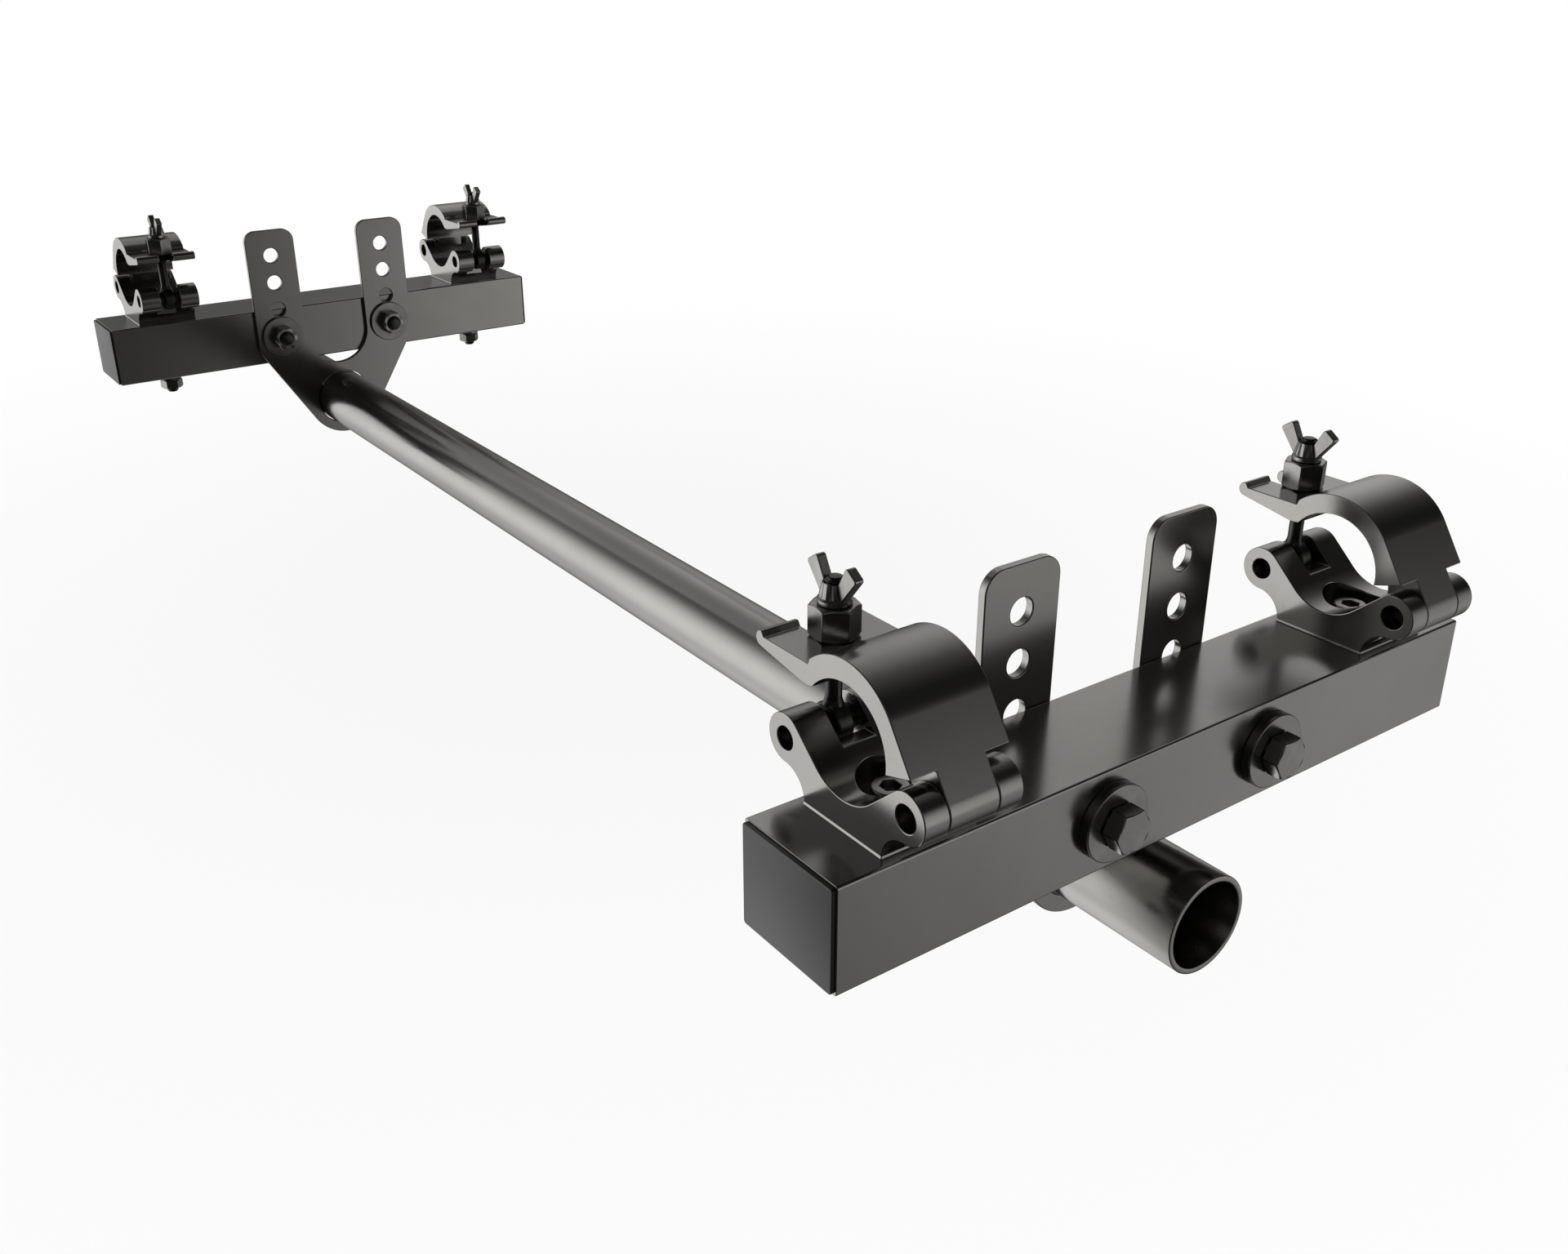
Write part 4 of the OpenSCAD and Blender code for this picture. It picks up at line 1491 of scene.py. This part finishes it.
    def wing_outline(self) -> list[Point]:
        """Outline of one wing in (Y, Z), with the hub's axis at 0.

        Returns:
            The outline.
        """
        w = self.wing_round
        circles = [
            ((self.hub_radius - w / 2, self.collar_h - w), 0.0),
            ((self.wing_reach - w, self.wing_rise - 3 * w), w),
            ((self.wing_reach - self.hub_top_radius, self.wing_rise - w), w),
            ((self.hub_top_radius - w, self.collar_h + self.hub_h - w / 2), 0.0),
        ]
        points: list[Point] = []
        for i, (centre, radius) in enumerate(circles):
            before, before_r = circles[i - 1]
            after, after_r = circles[(i + 1) % len(circles)]
            start = bearing(before, centre) - lean(before_r - radius, before, centre)
            stop = bearing(centre, after) - lean(radius - after_r, centre, after)
            stop += 360 * math.ceil((start - stop) / 360)
            points += arc(centre, radius, start, stop, 15) if radius else [centre]
        return points

    def wing_nut(self) -> bpy.types.Mesh:
        """Builds the wing nut: collar, fluted hub and two wings.

        Returns:
            The nut's mesh in place.
        """
        bore, collar = self.thread_d / 2 + self.fit_slack, self.collar_radius
        hub, tip = self.hub_radius, self.hub_top_radius
        steps, base, top = self.hub_steps, self.collar_h, self.collar_h + self.hub_h
        waves = [0.5 + 0.5 * math.cos(self.flutes * math.tau * i / steps) for i in range(steps)]
        profile = (
            (bore, 0.4, 0.0),
            (bore + 0.4, 0.0, 0.0),
            (collar - 0.4, 0.0, 0.0),
            (collar, 0.4, 0.0),
            (collar, base - 0.6, 0.0),
            (collar - 0.5, base - 0.1, 0.0),
            (hub - 0.3, base + 0.1, 0.2),
            (hub - 0.1, base + 0.7, 0.7),
            (tip + 0.1, top - 0.5, 0.55),
            (tip - 0.3, top, 0.1),
            (bore + 0.5, top, 0.0),
            (bore, top - 0.5, 0.0),
        )
        rings = [ring([r - flute * wave for wave in waves], [z] * steps) for r, z, flute in profile]
        pieces = [shaded(loft("hub", rings, closed=True), 42)]
        for turn in (0, 180):
            wing = prism("wing", self.wing_outline(), -self.wing_thick / 2, self.wing_thick / 2)
            wing = eased(cut(wing, [drill(bore + 0.2, (0, 0, -PAST), (0, 0, 30), 48)]), self.wing_edge, 3)
            wing.transform(turned(turn, "Z"))
            pieces.append(wing)
        mesh = joined("wing_nut", pieces)
        mesh.transform(moved(0, self.swing_c[0], self.wing_z))
        return mesh

    def mounting_bolt(self) -> bpy.types.Mesh:
        """Builds the socket-headed bolt down through the saddle and the crossbar.

        Returns:
            The bolt's mesh.
        """
        floor, r, e, crown = self.pocket_floor, self.mount_head_d / 2, self.mount_edge, 1.0
        top = floor + self.mount_head_h
        side = [(AXIS, floor), (r - e, floor), (r, floor + e), (r, top - crown), (r - e, top - e)]
        side += [(r - crown, top), (AXIS, top)]
        corner = self.mount_key / 2 / math.cos(math.radians(30))
        key = drill(corner, (0, 0, top - self.mount_key_depth), (0, 0, top + 3), 6)
        head = eased(cut(lathe("head", side), [key]), e)
        tip = -(self.bar_height + 2 * self.mount_nut_h + self.mount_end)
        shank = Shank(self.mount_d / 2, self.mount_pitch, floor, tip, self.mount_thread)
        return joined("mounting_bolt", [head, *shank.meshes(self.shop)])

    def mounting_nuts(self) -> bpy.types.Mesh:
        """Builds the nut and the lock nut under the crossbar.

        Returns:
            The nuts' mesh.
        """
        nuts = []
        for i in (1, 2):
            nut = Hexagon(self.mount_nut_across, self.mount_nut_h, True, self.mount_d / 2).mesh("nut")
            z = -self.bar_height - i * self.mount_nut_h - (i - 1) * self.seat_gap
            nut.transform(moved(z=z) @ turned(25 * i, "Z"))
            nuts.append(nut)
        return joined("mounting_nuts", nuts)

    def build(self) -> None:
        """Builds each piece once and installs it on all four couplers."""
        looks = self.shop.finishes
        pieces = {
            "coupler_base": (self.base(), looks.satin, "coupler"),
            "coupler_jaw": (self.jaw(), looks.satin, "coupler"),
            "hinge_pin": (self.pin(self.hinge_pin_d, self.hinge_c), looks.oxide, "pin"),
            "swing_pin": (self.pin(self.swing_pin_d, self.swing_c), looks.oxide, "pin"),
            "eye_bolt": (self.eye_bolt(), looks.oxide, "bolt"),
            "clamp_nut": (self.clamp_nut(), looks.steel, "fastener"),
            "wing_nut": (self.wing_nut(), looks.alloy, "wing_nut"),
            "mounting_bolt": (self.mounting_bolt(), looks.steel, "bolt"),
            "mounting_nuts": (self.mounting_nuts(), looks.steel, "fastener"),
        }
        for end in End:
            for side in Side:
                turn = turned(0 if end is End.FRONT else 180, "Z")
                spot = (side.value * self.offset, end.value * self.spacing / 2, self.bar_top)
                place = moved(*spot) @ turn
                for name, (mesh, finish, slot) in pieces.items():
                    node = f"{name}_{end.name.lower()}_{side.name.lower()}"
                    self.shop.install(node, mesh, finish, slot, place)


# Studio


@dataclass(frozen=True)
class Lamp:
    """A soft rectangular lamp that looks at a point of the bar."""

    name: str
    spot: tuple[float, float, float]
    aim: tuple[float, float, float]
    size: tuple[float, float]
    watts: float

    def build(self) -> None:
        """Adds the lamp."""
        data = bpy.data.lights.new(self.name, "AREA")
        data.shape = "RECTANGLE"
        data.size, data.size_y = self.size
        data.energy = self.watts
        lamp = bpy.data.objects.new(self.name, data)
        lamp.location = self.spot
        lamp.rotation_mode = "QUATERNION"
        lamp.rotation_quaternion = (Vector(self.aim) - Vector(self.spot)).to_track_quat("-Z", "Y")
        bpy.context.scene.collection.objects.link(lamp)


@dataclass(frozen=True)
class Panel:
    """A soft round panel far off, which the gloss reflects and which lights the scene from its side."""

    azimuth: float
    height: float
    level: float
    spread: float = 37.0

    def glow(self, shader: ShaderTree, aim: Sock) -> Sock:
        """Adds the panel's light to the world's tree.

        Args:
            shader: The world's tree.
            aim: Direction that is looked along.

        Returns:
            The panel's light in that direction, which falls off smoothly to its edge.
        """
        turn, rise = math.radians(self.azimuth), math.radians(self.height)
        middle = (math.sin(turn) * math.cos(rise), math.cos(turn) * math.cos(rise), math.sin(rise))
        dot = {"operation": "DOT_PRODUCT"}
        facing = shader.node("ShaderNodeVectorMath", dot, {0: aim, 1: middle}, "Value")
        edge = math.cos(math.radians(self.spread))
        inside = ((facing - edge) * (1 / (1 - edge))).clamped()
        return inside * inside * self.level


@dataclass
class Studio:
    """Camera, lamps, pale floor and the soft panels round the set."""

    camera_spot: tuple[float, float, float] = (-0.483089, -0.910968, 0.410390)
    yaw: float = 35.970
    pitch: float = -24.254
    roll: float = -0.025
    focal_px: float = 1828.709
    shift_px: tuple[float, float] = (2.328, -23.230)
    image: tuple[int, int] = (1920, 1536)
    floor_z: float = -0.0352
    floor_size: float = 30.0
    floor_tone: float = 0.86
    floor_fade: tuple[Point, Point] = ((0.10, 0.92), (0.50, 1.0))
    ambient: float = 0.02
    panels: tuple[Panel, ...] = (
        Panel(-43, -4, 1.31),
        Panel(-18, -60, 1.03),
        Panel(-50, -45, 0.82),
        Panel(146, 3, 0.62, 31),
        Panel(151, -16, 0.38, 17),
        Panel(-10, -13, 0.63),
        Panel(-63, -19, 0.61),
        Panel(62, 6, 0.47),
        Panel(50, 30, 0.44),
        Panel(-55, 19, 0.42),
        Panel(107, -26, 0.32),
        Panel(-30, -28, 0.41),
        Panel(127, -11, 0.30),
        Panel(-23, 10, 0.32),
        Panel(140, -36, 0.23),
        Panel(30, 15, 0.17),
        Panel(70, 48, 0.13),
        Panel(28, -54, 0.50),
        Panel(-135, 30, 0.15),
    )
    lamps: tuple[Lamp, ...] = (Lamp("back", (0.3, 2.0, 1.9), (0.0, 0.0, 0.05), (2.4, 1.8), 5.0),)

    def camera(self) -> None:
        """Adds the camera at the photograph's viewpoint."""
        data = bpy.data.cameras.new("camera")
        data.sensor_width = SENSOR
        data.lens = self.focal_px / self.image[0] * SENSOR
        data.shift_x = -self.shift_px[0] / self.image[0]
        data.shift_y = self.shift_px[1] / self.image[0]
        data.clip_start, data.clip_end = 0.05, 50.0
        yaw, pitch, roll = (math.radians(a) for a in (self.yaw, self.pitch, self.roll))
        ahead = Vector((math.sin(yaw) * math.cos(pitch), math.cos(yaw) * math.cos(pitch), math.sin(pitch)))
        camera = bpy.data.objects.new("camera", data)
        camera.location = self.camera_spot
        camera.rotation_mode = "QUATERNION"
        tilt = Matrix.Rotation(roll, 3, "Z").to_quaternion()
        camera.rotation_quaternion = ahead.to_track_quat("-Z", "Y") @ tilt
        bpy.context.scene.collection.objects.link(camera)
        bpy.context.scene.camera = camera

    def floor(self) -> None:
        """Adds the floor, which keeps the object's shadow near it and fades to white further off."""
        build = bmesh.new()
        bmesh.ops.create_grid(build, x_segments=8, y_segments=8, size=self.floor_size)
        bmesh.ops.translate(build, verts=build.verts, vec=(0, 0, self.floor_z))
        floor = put("floor", mesh_from("floor", build))
        made, shader = new_material("pale_floor")
        reach = shader.node("ShaderNodeVectorMath", {"operation": "LENGTH"}, {0: shader.coords()}, "Value")
        fade = shader.ramp(reach * 0.5, *self.floor_fade)
        lit = shader.node("ShaderNodeBsdfDiffuse", {}, {"Color": (*[self.floor_tone] * 3, 1)})
        clear = shader.node("ShaderNodeBsdfTransparent", {}, {"Color": (1, 1, 1, 1)})
        camera = shader.node("ShaderNodeLightPath", {}, {}, "Is Camera Ray")
        others = shader.tree.nodes[-1].outputs
        mirror = Sock(shader, others["Is Glossy Ray"]) + Sock(shader, others["Is Transmission Ray"])
        gone = (camera * fade + mirror).clamped()
        mixed = shader.node("ShaderNodeMixShader", {}, {0: gone, 1: lit, 2: clear})
        shader.node("ShaderNodeOutputMaterial", {}, {"Surface": mixed})
        floor.data.materials.append(made)

    def world(self) -> None:
        """Surrounds the scene with the soft panels, and with white for the camera."""
        world = bpy.data.worlds.new("studio")
        world.use_nodes = True
        bpy.context.scene.world = world
        shader = ShaderTree(world.node_tree)
        aim = shader.node("ShaderNodeTexCoord", {}, {}, "Generated")
        level: Value = self.ambient
        for panel in self.panels:
            level = panel.glow(shader, aim) + level
        soft = shader.node("ShaderNodeBackground", {}, {"Color": (1, 1, 1, 1), "Strength": level})
        white = shader.node("ShaderNodeBackground", {}, {"Color": (1, 1, 1, 1), "Strength": 1.0})
        seen = shader.node("ShaderNodeLightPath", {}, {}, "Is Camera Ray")
        mixed = shader.node("ShaderNodeMixShader", {}, {0: seen, 1: soft, 2: white})
        shader.node("ShaderNodeOutputWorld", {}, {"Surface": mixed})

    def build(self) -> None:
        """Builds the whole studio."""
        self.camera()
        self.floor()
        self.world()
        for lamp in self.lamps:
            lamp.build()
        bpy.context.scene.view_settings.view_transform = "Standard"


def main() -> None:
    """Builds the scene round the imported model."""
    logging.basicConfig(level=logging.INFO, format="%(message)s")
    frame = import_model()
    Studio().build()
    shop = Shop(frame)
    for assembly in (Bar(shop), Fork(shop), Crossbar(shop), Coupler(shop)):
        assembly.build()
        log.info("built %s", type(assembly).__name__)


if __name__ == "__main__":
    main()
